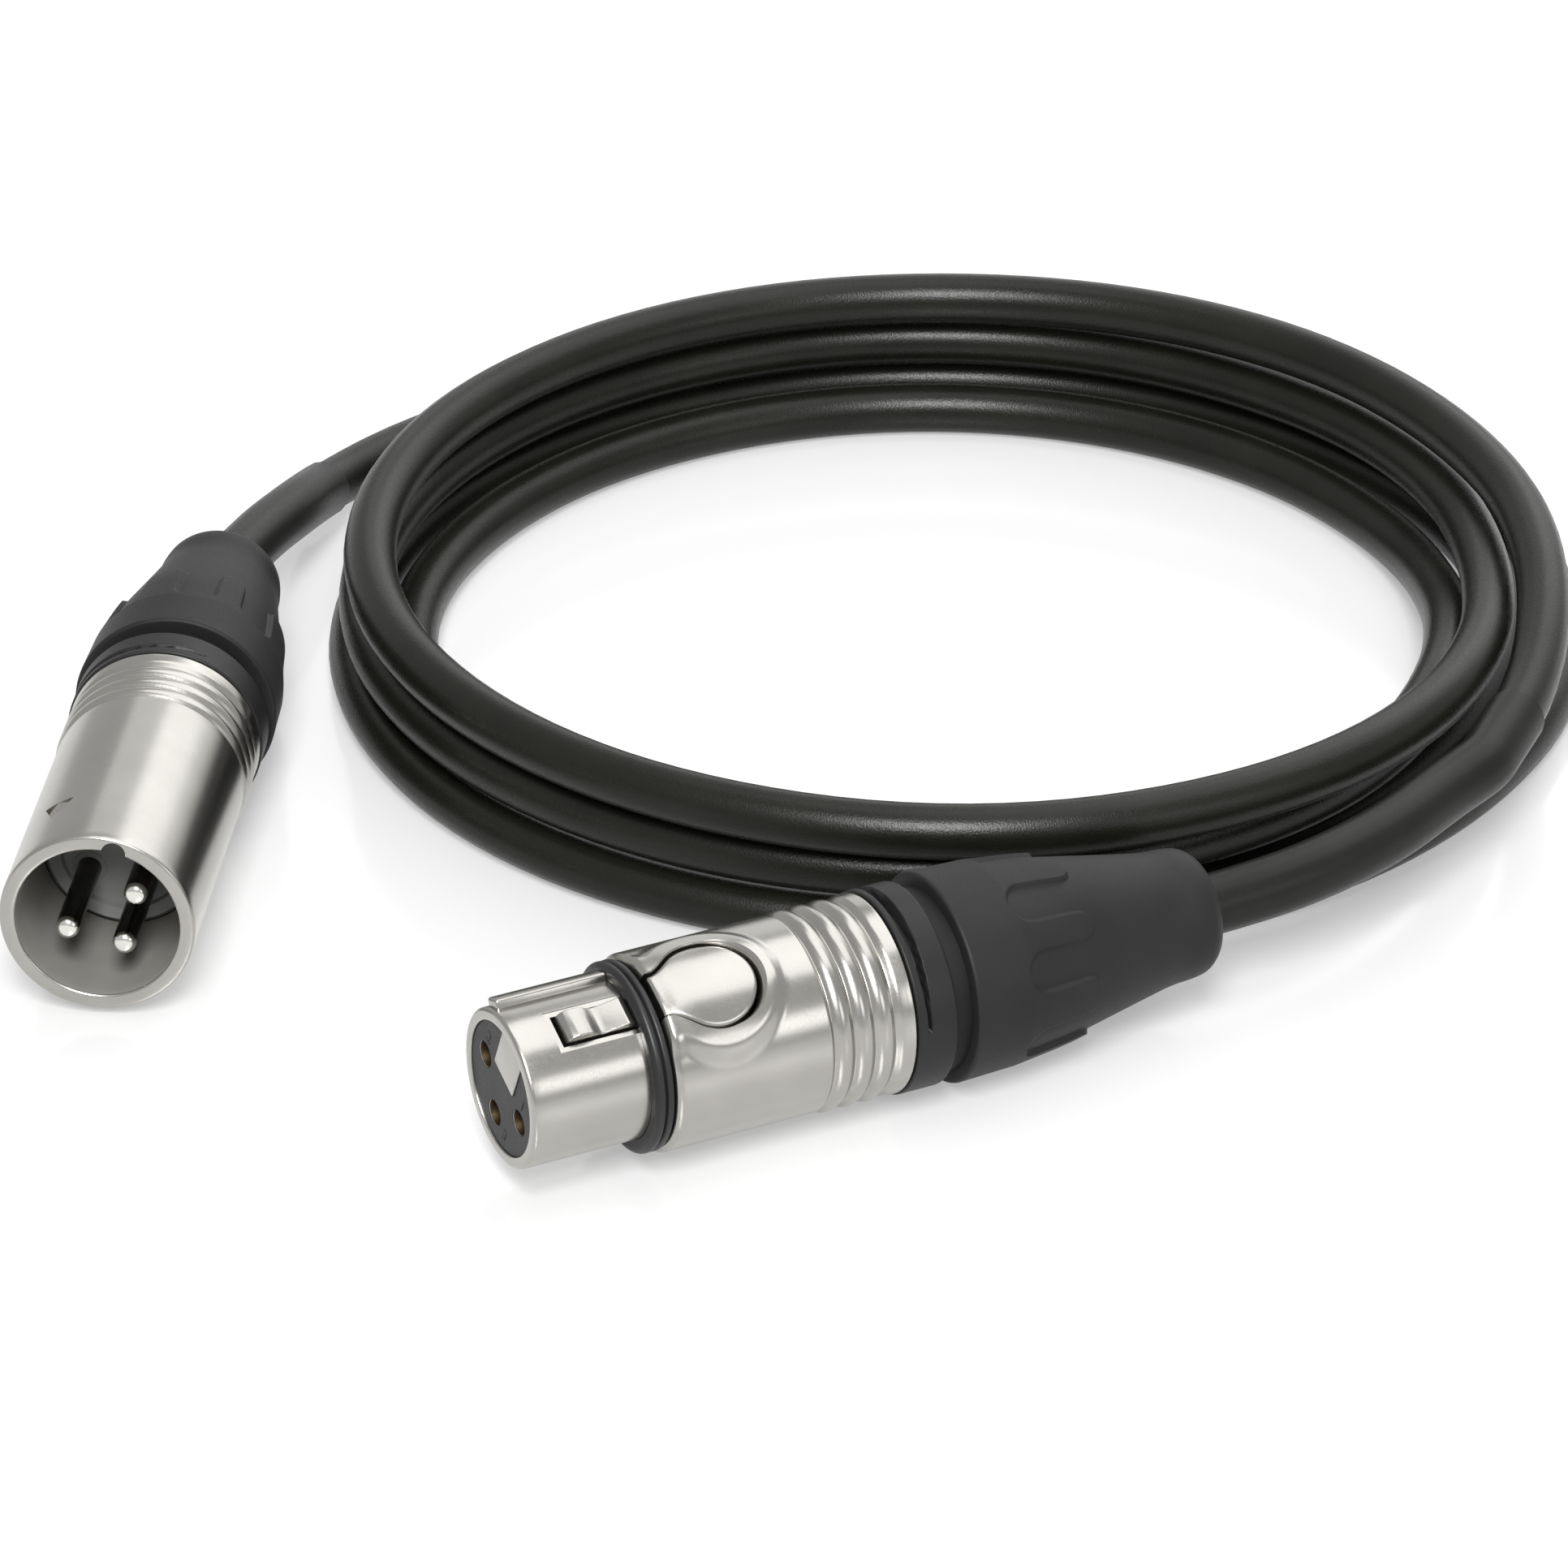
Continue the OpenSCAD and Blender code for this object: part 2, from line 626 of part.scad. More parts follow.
// Boot: a hollow cone with a raised band in front, whose rear edge is cut into fingers by hollows.
module boot(tail) {
    color("#262627") translate([0, 0, tail]) difference() {
        turned([
            [0, boot_front], [boot_r - wave_edge, boot_front], [boot_r, boot_front + wave_edge],
            [boot_r - band_drop, wave_root], [shoulder_r + wave_height, shoulder_t],
            [cone_r + wave_height, wave_end - wave_edge], [cone_r + 2 * hollow_skin, wave_end],
            [cone_r, wave_end], [cone_mid_r, cone_mid_t], [waist_r, waist_t],
            [waist_r, boot_end - end_round], [waist_r - 0.1 * end_round, boot_end - 0.5 * end_round],
            [waist_r - 0.4 * end_round, boot_end - 0.15 * end_round], [waist_r - 0.7 * end_round, boot_end],
            [0, boot_end]
        ]);
        intersection() {
            turned([
                [boot_r - band_drop - wave_height, wave_root - 1], [shoulder_r + hollow_skin, shoulder_t],
                [cone_r + hollow_skin, wave_end], [cone_r + hollow_skin, wave_end + 1],
                [boot_r + 1, wave_end + 1], [boot_r + 1, wave_root - 1]
            ]);
            for (group = [0:wave_groups - 1])
                for (turn = wave_pair)
                    rotate([0, 0, turn + group * 360 / wave_groups]) outwards(2 * boot_r) hollow_outline();
        }
        drilled(boot_bore_r, boot_front - 1, wave_root);
        translate([0, 0, wave_root - eps])
            cylinder(r1 = boot_bore_r, r2 = bush_tip_r + still_room, h = bush_end - wave_root + 2 * eps,
                $fn = fine);
        translate([0, 0, bush_end])
            cylinder(r1 = bush_tip_r + still_room, r2 = boot_mouth_r, h = cone_mid_t - bush_end, $fn = fine);
        drilled(boot_mouth_r, boot_front, boot_end + 1);
    }
}

// Hollow between two fingers: round at its front and open to the rear.
module hollow_outline() {
    translate([0, wave_root + wave_hollow / 2]) circle(wave_hollow / 2, $fn = small);
    translate([-wave_hollow / 2, wave_root + wave_hollow / 2]) square([wave_hollow, boot_length]);
}

// Wire from a solder cup to the end of the cable, drawn together in front of the chuck.
module wire(index, cup_end, tail) {
    turn = contact_turns[index];
    reach = [contact_ring_r, contact_ring_r, wire_bundle_r, wire_bundle_r];
    along = [cup_end - cup_depth + 0.1, cup_end + 0.6, tail + chuck_front - 0.4, tail - cable_stub];
    points = [for (k = [0:3]) [reach[k] * cos(turn), reach[k] * sin(turn), along[k]]];
    color(["#b03a2e", "#e5e7e9", "#2e4053"][index]) wire_tube(points);
}
module wire_tube(points) {
    sides = 8;
    rings = [for (k = [0:3]) [for (i = [0:sides - 1])
        points[k] + wire_r * [cos(i * 360 / sides), sin(i * 360 / sides), 0]]];
    last = 3 * sides;
    polyhedron(flat(rings), concat(
        wall(4, sides, 0, true),
        [for (k = [1:sides - 2]) [0, k, k + 1]],
        [for (k = [1:sides - 2]) [last, last + k + 1, last + k]]
    ));
}

// Cable.
module cable_coil() {
    color("#2a2a2a") tube(coil_points, ways(coil_points, coil_in_way, coil_out_way), cable_r, cable_sides);
}
module cable_lead(points, first, last) {
    color("#2a2a2a") tube(points, ways(points, first, last), cable_r, cable_sides);
}
module label_sleeve(points, first, last) {
    directions = ways(points, first, last);
    covered = [bare_rings:len(points) - 1];
    color("#222223") pipe([for (k = covered) points[k]], [for (k = covered) directions[k]], sleeve_r,
        cable_r + sleeve_room, cable_sides);
}

// Node names; a node value of "all" draws everything.

female_shell();
female_insert();
female_contact(0);  // female_contact_1
female_contact(1);  // female_contact_2
female_contact(2);  // female_contact_3
nose_ring();
latch_lever();
latch_pin();
latch_spring();
on_female() coding_ring(female_tail);  // female_coding_ring
on_female() bushing(female_tail);  // female_bushing
on_female() chuck(female_tail);  // female_chuck
on_female() boot(female_tail);  // female_boot
on_latch() wire(0, contact_end, female_tail);  // female_wire_1
on_latch() wire(1, contact_end, female_tail);  // female_wire_2
on_latch() wire(2, contact_end, female_tail);  // female_wire_3
male_shell();
male_insert();
male_pin(0);  // male_pin_1
male_pin(1);  // male_pin_2
male_pin(2);  // male_pin_3
on_male() coding_ring(male_tail);  // male_coding_ring
on_male() bushing(male_tail);  // male_bushing
on_male() chuck(male_tail);  // male_chuck
on_male() boot(male_tail);  // male_boot
on_catch() wire(0, male_contact_end, male_tail);  // male_wire_1
on_catch() wire(1, male_contact_end, male_tail);  // male_wire_2
on_catch() wire(2, male_contact_end, male_tail);  // male_wire_3
cable_coil();
cable_lead(female_lead, female_way, coil_in_way);  // cable_lead_female
cable_lead(male_lead, male_way, -coil_out_way);  // cable_lead_male
label_sleeve(female_lead, female_way, coil_in_way);  // female_label_sleeve
label_sleeve(male_lead, male_way, -coil_out_way);  // male_label_sleeve
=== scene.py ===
"""Microphone cable laid in a coil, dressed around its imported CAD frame.

Shapes are drawn in millimetres in a connector's own frame, and placed in the row frame in metres.
"""

import logging
import math
from collections.abc import Callable, Sequence
from dataclasses import dataclass
from enum import Enum

import bmesh
import bpy
from mathutils import Matrix, Vector


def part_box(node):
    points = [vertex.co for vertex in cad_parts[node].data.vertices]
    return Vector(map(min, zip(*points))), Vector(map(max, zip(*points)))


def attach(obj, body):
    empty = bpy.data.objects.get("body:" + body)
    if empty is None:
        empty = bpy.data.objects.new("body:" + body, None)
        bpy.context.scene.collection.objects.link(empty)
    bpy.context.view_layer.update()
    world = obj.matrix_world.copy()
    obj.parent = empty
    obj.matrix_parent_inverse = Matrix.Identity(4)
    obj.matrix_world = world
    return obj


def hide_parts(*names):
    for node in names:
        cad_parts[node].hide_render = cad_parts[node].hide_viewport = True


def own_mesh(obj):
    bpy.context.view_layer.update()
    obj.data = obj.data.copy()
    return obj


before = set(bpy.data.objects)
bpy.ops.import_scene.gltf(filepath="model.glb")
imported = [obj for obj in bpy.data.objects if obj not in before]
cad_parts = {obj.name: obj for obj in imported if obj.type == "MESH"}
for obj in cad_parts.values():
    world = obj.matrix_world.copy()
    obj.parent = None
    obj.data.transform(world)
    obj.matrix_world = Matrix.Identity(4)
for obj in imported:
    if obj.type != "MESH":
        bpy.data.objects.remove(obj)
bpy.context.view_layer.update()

MM = 0.001
LOG = logging.getLogger("cable_coil")
# Millimetres: vertices this close are merged, and after a cut what is thinner than a sliver is dissolved.
MERGE = 1e-4
SLIVER = 0.002
# Steps in a rounded corner of a profile, in a tube's round section, and on each side of a blended value.
ROUND_STEPS = 5
TUBE_STEPS = 6
BLEND_STEPS = 3
# The middle band of a noise, where nearly all its values lie.
NOISE_BAND = (0.3, 0.7)
GRAIN_DETAIL = 3.0
CLOUD_DETAIL = 2.0
FULL_TURN = 360.0


class Body(Enum):
    """The two bodies of the row."""

    CABLE = "cable"
    LATCH = "latch"


class Slot(Enum):
    """Material slots of the record."""

    NICKEL = "nickel"
    CONTACT = "contact"
    STEEL = "steel"
    INSULATOR = "insulator"
    RING = "ring_rubber"
    COLLAR = "collar"
    CHUCK = "chuck"
    BOOT = "boot"
    JACKET = "jacket"
    SLEEVE = "sleeve"
    RED = "wire_red"
    WHITE = "wire_white"
    BLUE = "wire_blue"


# Materials


def linear(code: str) -> tuple[float, float, float, float]:
    """Turns an sRGB hex value into linear colour.

    Args:
        code: Six hex digits, with or without the sign in front.

    Returns:
        Red, green, blue and alpha.
    """
    channels = [int(code.lstrip("#")[k:k + 2], 16) / 255 for k in (0, 2, 4)]
    red, green, blue = (c / 12.92 if c <= 0.04045 else ((c + 0.055) / 1.055) ** 2.4 for c in channels)
    return red, green, blue, 1.0


def add_node(
    tree: bpy.types.NodeTree, kind: str, settings: dict | None = None, links: dict | None = None
) -> bpy.types.Node:
    """Adds a node with its settings and links.

    Args:
        tree: The material's tree.
        kind: The node's type.
        settings: Attributes of the node, or values of its input sockets, by name.
        links: Output sockets that feed its input sockets, by name.

    Returns:
        The node.
    """
    node = tree.nodes.new(kind)
    for key, value in (settings or {}).items():
        if key in node.inputs:
            node.inputs[key].default_value = value
        else:
            setattr(node, key, value)
    for key, source in (links or {}).items():
        tree.links.new(source, node.inputs[key])
    return node


@dataclass(frozen=True)
class Finish:
    """One real surface: its colours, gloss, and the grain that its making leaves.

    Widths and depths are in millimetres. Grain that is too fine to show is drawn as coarse as it needs to.
    """

    name: str
    slot: Slot
    dark: str
    light: str
    roughness: float
    metallic: float = 0.0
    ior: float = 1.5
    specular: float = 0.5
    grain: float = 0.3
    depth: float = 0.01
    spread: float = 0.05
    cloud: float = 5.0
    sheen: float = 0.0

    def material(self) -> bpy.types.Material:
        """Makes the node material, once.

        Returns:
            The material.
        """
        made = bpy.data.materials.get(self.name)
        if made is not None:
            return made
        made = bpy.data.materials.new(self.name)
        made.use_nodes = True
        tree = made.node_tree
        tree.nodes.clear()
        place = add_node(tree, "ShaderNodeTexCoord").outputs["Object"]
        grain, cloud = (
            add_node(
                tree, "ShaderNodeTexNoise", {"Scale": 1 / (width * MM), "Detail": detail}, {"Vector": place}
            ).outputs["Fac"]
            for width, detail in ((self.grain, GRAIN_DETAIL), (self.cloud, CLOUD_DETAIL))
        )
        ramp = add_node(tree, "ShaderNodeValToRGB", links={"Fac": cloud})
        for stop, spot, code in zip(ramp.color_ramp.elements, NOISE_BAND, (self.dark, self.light)):
            stop.position = spot
            stop.color = linear(code)
        rough = add_node(
            tree,
            "ShaderNodeMapRange",
            {"From Min": NOISE_BAND[0], "From Max": NOISE_BAND[1], "To Min": self.roughness - self.spread,
             "To Max": self.roughness + self.spread},
            {"Value": grain},
        )
        bump = add_node(tree, "ShaderNodeBump", {"Distance": self.depth * MM}, {"Height": grain})
        shader = add_node(
            tree,
            "ShaderNodeBsdfPrincipled",
            {"Metallic": self.metallic, "IOR": self.ior, "Specular IOR Level": self.specular,
             "Sheen Weight": self.sheen},
            {"Base Color": ramp.outputs["Color"], "Roughness": rough.outputs["Result"],
             "Normal": bump.outputs["Normal"]},
        )
        add_node(tree, "ShaderNodeOutputMaterial", links={"Surface": shader.outputs["BSDF"]})
        return made


# Satin nickel plated on zinc: a warm light metal with a fine blasted grain and broad soft highlights.
NICKEL = Finish(
    "satin_nickel_plating", Slot.NICKEL, "#a8a6a1", "#b0aea9", 0.24, metallic=1.0, grain=0.22, depth=0.0008,
    spread=0.03, cloud=7.0,
)
# The same plating inside the plug's bore, painted a darker, duller grey with no clear reflections: painted
# shade of the deep bore.
NICKEL_BORE_PAINTED_SHADE = Finish(
    "nickel_bore_painted_shade", Slot.NICKEL, "#7d7b77", "#888681", 0.6, metallic=0.35, grain=0.25, depth=0.004,
    spread=0.05, cloud=6.0,
)
# Silver plating on turned brass: bright, with faint turning marks.
SILVER = Finish(
    "silver_plated_pin", Slot.CONTACT, "#d8d6d0", "#e2e0da", 0.16, metallic=1.0, grain=0.15, depth=0.001,
    spread=0.04,
)
# The silver of the pins' shafts, painted a deep grey metal with thin bright streaks: painted reflection of
# the dark bore around them.
SILVER_SHAFT_PAINTED_REFLECTION = Finish(
    "silver_shaft_painted_reflection", Slot.CONTACT, "#4b4946", "#565451", 0.24, metallic=1.0, grain=0.15, depth=0.001,
    spread=0.04,
)
# Turned brass inside the socket contacts, a dull dark brown: the brown is the brass's own, its darkness is
# painted shade of the deep holes.
BRASS_PAINTED_SHADE = Finish(
    "turned_brass_painted_shade", Slot.CONTACT, "#372d20", "#42372a", 0.6, metallic=1.0, grain=0.2, depth=0.002,
    spread=0.06,
)
# Ground steel of the latch pin and drawn spring wire.
STEEL = Finish(
    "drawn_steel", Slot.STEEL, "#8d8f92", "#9b9da0", 0.3, metallic=1.0, grain=0.15, depth=0.001, spread=0.05,
)
# Glass-filled nylon of the inserts: dark, matte, with a fine moulded texture.
NYLON = Finish(
    "glass_filled_nylon", Slot.INSULATOR, "#2a2a2b", "#313132", 0.6, specular=0.4, grain=0.2, depth=0.006,
    spread=0.06, cloud=3.0,
)
# The plug's insert is moulded in a greyer nylon.
NYLON_GREY = Finish(
    "grey_nylon", Slot.INSULATOR, "#747574", "#7e7f7e", 0.5, grain=0.2, depth=0.006, spread=0.06, cloud=3.0,
)
# Nitrile ring: smooth black rubber with a soft shine on its ridges.
NITRILE = Finish(
    "nitrile_ring", Slot.RING, "#141415", "#19191a", 0.42, specular=0.4, grain=0.25, depth=0.004, spread=0.05,
)
# Acetal collar: satin black moulding.
ACETAL = Finish(
    "satin_acetal", Slot.COLLAR, "#161616", "#1b1b1b", 0.46, specular=0.24, grain=0.22, depth=0.004,
    spread=0.05,
)
# The bushing is the same acetal left unpolished and painted near black: painted shade of the groove that it
# lies in.
ACETAL_DULL_PAINTED_SHADE = Finish(
    "dull_acetal_painted_shade", Slot.COLLAR, "#0c0c0c", "#101010", 0.6, specular=0.25, grain=0.22, depth=0.004,
    spread=0.05,
)
# Natural grey acetal of the cable clamp.
CLAMP = Finish(
    "grey_acetal", Slot.CHUCK, "#8b8e93", "#94979c", 0.5, grain=0.25, depth=0.005, spread=0.05,
)
# Soft polyurethane boot: matte black with a dry, slightly dusty sheen.
POLYURETHANE = Finish(
    "soft_polyurethane", Slot.BOOT, "#161616", "#1b1b1b", 0.54, specular=0.22, grain=0.2, depth=0.006,
    spread=0.05, cloud=8.0, sheen=0.01,
)
# Extruded flexible PVC: satin black jacket, a little warm, with a fine grain in its long highlights.
PVC = Finish(
    "flexible_pvc_jacket", Slot.JACKET, "#0f0f0c", "#141410", 0.31, specular=0.23, grain=0.2, depth=0.03,
    spread=0.06, cloud=9.0,
)
# Shrunk polyolefin tube: smoother and a little duller than the jacket.
POLYOLEFIN = Finish(
    "shrunk_polyolefin", Slot.SLEEVE, "#121210", "#171715", 0.37, specular=0.2, grain=0.35, depth=0.006,
    spread=0.05, cloud=9.0,
)
# Insulation of the three wires.
WIRE_RED = Finish("red_insulation", Slot.RED, "#a83628", "#b54032", 0.45, grain=0.2, depth=0.003)
WIRE_WHITE = Finish("white_insulation", Slot.WHITE, "#dfe1e3", "#eaecee", 0.45, grain=0.2, depth=0.003)
WIRE_BLUE = Finish("blue_insulation", Slot.BLUE, "#28394a", "#304357", 0.45, grain=0.2, depth=0.003)


# Mesh helpers


@dataclass(frozen=True)
class Corner:
    """A corner of a turned profile: its reach from the axis, its place along it, and its rounding."""

    reach: float
    along: float
    round: float = 0.0


@dataclass(frozen=True)
class Sector:
    """A stretch of a turned shape, with its angle in degrees and the steps in it."""

    angle: float
    steps: int


@dataclass(frozen=True)
class Placement:
    """Where a connector's axis lies: local X is up, Y sideways, and Z runs from mating face to tail."""

    face: tuple[float, float, float]
    yaw: float
    roll: float = 0.0

    def matrix(self) -> Matrix:
        """Gives the matrix from local millimetres to the row frame in metres.

        Returns:
            The matrix.
        """
        turn = Matrix.Rotation(math.radians(self.yaw), 4, "Z") @ Matrix.Rotation(math.radians(90), 4, "Y")
        roll = Matrix.Rotation(math.radians(180 + self.roll), 4, "Z")
        return Matrix.Scale(MM, 4) @ Matrix.Translation(self.face) @ turn @ roll


def shown(name: str, data: bpy.types.ID) -> bpy.types.Object:
    """Puts a mesh, curve, light or camera into the scene.

    Args:
        name: The object's name.
        data: What it shows.

    Returns:
        The object.
    """
    made = bpy.data.objects.new(name, data)
    bpy.context.scene.collection.objects.link(made)
    return made


def weld(bm: bmesh.types.BMesh, apart: float = MERGE) -> bmesh.types.BMesh:
    """Merges doubles and points all faces outwards.

    Args:
        bm: The mesh.
        apart: How far apart doubles may lie.

    Returns:
        The mesh.
    """
    bmesh.ops.remove_doubles(bm, verts=bm.verts, dist=apart)
    bmesh.ops.recalc_face_normals(bm, faces=bm.faces)
    return bm


def turn_about(bm: bmesh.types.BMesh, angle: float) -> bmesh.types.BMesh:
    """Turns a mesh about the axis.

    Args:
        bm: The mesh.
        angle: The turn in degrees.

    Returns:
        The mesh.
    """
    turn = Matrix.Rotation(math.radians(angle), 3, "Z")
    bmesh.ops.rotate(bm, verts=bm.verts, cent=(0, 0, 0), matrix=turn)
    return bm


def smooth_step(low: float, high: float, value: float) -> float:
    """Rises smoothly from 0 at low to 1 at high.

    Args:
        low: Where it starts.
        high: Where it ends.
        value: Where it is read.

    Returns:
        A share from 0 to 1.
    """
    share = min(max((value - low) / (high - low), 0.0), 1.0)
    return share * share * (3 - 2 * share)


def profile(bm: bmesh.types.BMesh, corners: Sequence[Corner], closed: bool = True) -> None:
    """Draws a turned profile as a wire and rounds its corners.

    Args:
        bm: The mesh that gets the wire.
        corners: The corners in order.
        closed: Whether the last corner joins the first.
    """
    verts = [bm.verts.new((c.reach, 0, c.along)) for c in corners]
    ends = verts[1:] + verts[:1] if closed else verts[1:]
    for first, second in zip(verts, ends):
        bm.edges.new((first, second))
    for radius in sorted({c.round for c in corners if c.round > 0}):
        bmesh.ops.bevel(
            bm, geom=[v for v, c in zip(verts, corners) if c.round == radius], offset=radius,
            offset_type="OFFSET", segments=ROUND_STEPS, profile=0.5, affect="VERTICES", material=-1,
        )


def refine(bm: bmesh.types.BMesh, longest: Callable[[float, float], float]) -> None:
    """Splits a wire's edges.

    Args:
        bm: The mesh with the wire.
        longest: Gives the longest edge allowed at a reach and a place along the axis.
    """
    groups: dict[int, list[bmesh.types.BMEdge]] = {}
    for edge in bm.edges:
        middle = (edge.verts[0].co + edge.verts[1].co) / 2
        cuts = math.ceil(edge.calc_length() / longest(middle.x, middle.z)) - 1
        groups.setdefault(cuts, []).append(edge)
    for cuts, edges in groups.items():
        if cuts > 0:
            bmesh.ops.subdivide_edges(bm, edges=edges, cuts=cuts)


def turn_wire(bm: bmesh.types.BMesh, sectors: Sequence[Sector], start: float = 0.0) -> None:
    """Spins a wire about the axis, through one sector after the other.

    Args:
        bm: The mesh with the wire.
        sectors: The sectors, a full turn together.
        start: The angle where the first one starts.
    """
    turn_about(bm, start)
    geom = bm.verts[:] + bm.edges[:]
    for sector in sectors:
        geom = bmesh.ops.spin(
            bm, geom=geom, cent=(0, 0, 0), axis=(0, 0, 1), angle=math.radians(sector.angle),
            steps=sector.steps, use_merge=len(sectors) == 1,
        )["geom_last"]
    weld(bm)


def turned(corners: Sequence[Corner], longest: float, steps: int, closed: bool = True) -> bmesh.types.BMesh:
    """Makes a fully turned shape from its profile.

    Args:
        corners: The profile's corners in order.
        longest: The longest edge allowed on the profile.
        steps: The steps round the axis.
        closed: Whether the last corner joins the first.

    Returns:
        The shape's mesh.
    """
    bm = bmesh.new()
    profile(bm, corners, closed)
    refine(bm, lambda reach, along: longest)
    turn_wire(bm, [Sector(FULL_TURN, steps)])
    return bm


def relieve(bm: bmesh.types.BMesh, height: Callable[[float, float, float], float]) -> None:
    """Moves each vertex of a turned shape along its own radius.

    Args:
        bm: The mesh.
        height: Gives the new reach from the angle in degrees, the place along the axis and the old reach.
    """
    for vert in bm.verts:
        reach = math.hypot(vert.co.x, vert.co.y)
        if reach > MERGE:
            angle = math.degrees(math.atan2(vert.co.y, vert.co.x))
            vert.co.xy *= height(angle, vert.co.z, reach) / reach


def loose_object(name: str, bm: bmesh.types.BMesh) -> bpy.types.Object:
    """Puts a mesh into the scene for a modifier to work on.

    Args:
        name: The object's name.
        bm: Its mesh, which is freed.

    Returns:
        The object.
    """
    mesh = bpy.data.meshes.new(name)
    bm.to_mesh(mesh)
    bm.free()
    return shown(name, mesh)


def carve(bm: bmesh.types.BMesh, cutters: Sequence[bmesh.types.BMesh]) -> bmesh.types.BMesh:
    """Cuts shapes out of a closed mesh.

    Args:
        bm: The mesh, which is freed.
        cutters: Closed meshes, which are freed.

    Returns:
        The cut mesh.
    """
    body = loose_object("uncut", bm)
    tools = [loose_object("cutter", cutter) for cutter in cutters]
    for tool in tools:
        cut = body.modifiers.new("cut", "BOOLEAN")
        cut.operation = "DIFFERENCE"
        cut.solver = "EXACT"
        cut.object = tool
    mesh = bpy.data.meshes.new_from_object(body.evaluated_get(bpy.context.evaluated_depsgraph_get()))
    for spent in (body, *tools):
        used = spent.data
        bpy.data.objects.remove(spent)
        bpy.data.meshes.remove(used)
    made = bmesh.new()
    made.from_mesh(mesh)
    bpy.data.meshes.remove(mesh)
    bmesh.ops.remove_doubles(made, verts=made.verts, dist=SLIVER)
    bmesh.ops.dissolve_degenerate(made, edges=made.edges, dist=SLIVER)
    bmesh.ops.triangulate(made, faces=[f for f in made.faces if len(f.verts) > 4])
    bmesh.ops.dissolve_degenerate(made, edges=made.edges, dist=SLIVER)
    return made


def swept_plug(
    rings: int, segments: int, place: Callable[[float, int], tuple[float, float, float]]
) -> bmesh.types.BMesh:
    """Makes a closed plug from rings that follow an outline.

    Args:
        rings: How many rings it has.
        segments: Points on a ring.
        place: Gives a point from its angle in radians and its ring's number.

    Returns:
        The plug's mesh.
    """
    bm = bmesh.new()
    bmesh.ops.create_cone(bm, cap_ends=True, segments=segments, radius1=1, radius2=1, depth=rings - 1)
    bmesh.ops.translate(bm, verts=bm.verts, vec=(0, 0, (rings - 1) / 2))
    for level in range(1, rings - 1):
        geom = bm.verts[:] + bm.edges[:] + bm.faces[:]
        bmesh.ops.bisect_plane(bm, geom=geom, plane_co=(0, 0, level), plane_no=(0, 0, 1))
    for vert in bm.verts:
        vert.co = place(math.atan2(vert.co.y, vert.co.x), round(vert.co.z))
    bmesh.ops.recalc_face_normals(bm, faces=bm.faces)
    if bm.calc_volume(signed=True) < 0:
        bmesh.ops.reverse_faces(bm, faces=bm.faces)
    return bm


def prism(
    outline: Sequence[tuple[float, float, float]], along: tuple[float, float, float]
) -> bmesh.types.BMesh:
    """Extrudes a flat outline.

    Args:
        outline: Its corners in order.
        along: How far it is extruded.

    Returns:
        The closed prism.
    """
    bm = bmesh.new()
    face = bm.faces.new([bm.verts.new(corner) for corner in outline])
    grown = bmesh.ops.extrude_face_region(bm, geom=[face], use_keep_orig=True)["geom"]
    bmesh.ops.translate(bm, verts=[v for v in grown if isinstance(v, bmesh.types.BMVert)], vec=along)
    bmesh.ops.recalc_face_normals(bm, faces=bm.faces)
    return bm


def soften(bm: bmesh.types.BMesh, radius: float, segments: int = 3) -> bmesh.types.BMesh:
    """Rounds all edges of a block.

    Args:
        bm: The block.
        radius: The rounding.
        segments: Its steps.

    Returns:
        The block.
    """
    bmesh.ops.bevel(
        bm, geom=bm.edges[:], offset=radius, offset_type="OFFSET", segments=segments, profile=0.5,
        affect="EDGES", clamp_overlap=True, material=-1,
    )
    return bm


def add_mesh(bm: bmesh.types.BMesh, other: bmesh.types.BMesh) -> None:
    """Adds one mesh to another and frees it."""
    mesh = bpy.data.meshes.new("added")
    other.to_mesh(mesh)
    other.free()
    bm.from_mesh(mesh)
    bpy.data.meshes.remove(mesh)


def mesh_of(drawn: bpy.types.Object) -> bmesh.types.BMesh:
    """Turns a curve into a mesh and takes the curve's object away.

    Args:
        drawn: The curve's object.

    Returns:
        The mesh.
    """
    mesh = bpy.data.meshes.new_from_object(drawn.evaluated_get(bpy.context.evaluated_depsgraph_get()))
    bpy.data.objects.remove(drawn)
    bm = bmesh.new()
    bm.from_mesh(mesh)
    bpy.data.meshes.remove(mesh)
    return bm


@dataclass(frozen=True)
class Second:
    """A second finish of a piece, on the faces whose middle passes a test in local millimetres."""

    finish: Finish
    on: Callable[[Vector], bool]


def finish_piece(
    name: str,
    bm: bmesh.types.BMesh,
    place: Matrix,
    finish: Finish,
    nodes: Sequence[str],
    body: Body = Body.CABLE,
    crease: float = 38.0,
    second: Second | None = None,
) -> bpy.types.Object:
    """Places a mesh, dresses it, and lets it stand for CAD nodes.

    Args:
        name: The piece's name.
        bm: Its mesh in local millimetres, which is freed.
        place: The matrix to the row frame.
        finish: Its surface.
        nodes: The CAD nodes that it replaces.
        body: The body that it rides on.
        crease: The angle in degrees from which an edge is shaded sharp.
        second: A second finish for some of its faces.

    Returns:
        The piece.
    """
    for face in bm.faces:
        face.smooth = True
        face.material_index = int(second is not None and second.on(face.calc_center_median()))
    for edge in bm.edges:
        edge.smooth = edge.calc_face_angle(0.0) < math.radians(crease)
    bmesh.ops.transform(bm, matrix=place, verts=bm.verts)
    mesh = bpy.data.meshes.new(name)
    bm.to_mesh(mesh)
    bm.free()
    mesh.materials.append(finish.material())
    if second is not None:
        mesh.materials.append(second.finish.material())
    piece = shown(name, mesh)
    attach(piece, body.value)
    if nodes:
        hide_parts(*nodes)
    LOG.info("%s: %d faces", name, len(mesh.polygons))
    return piece


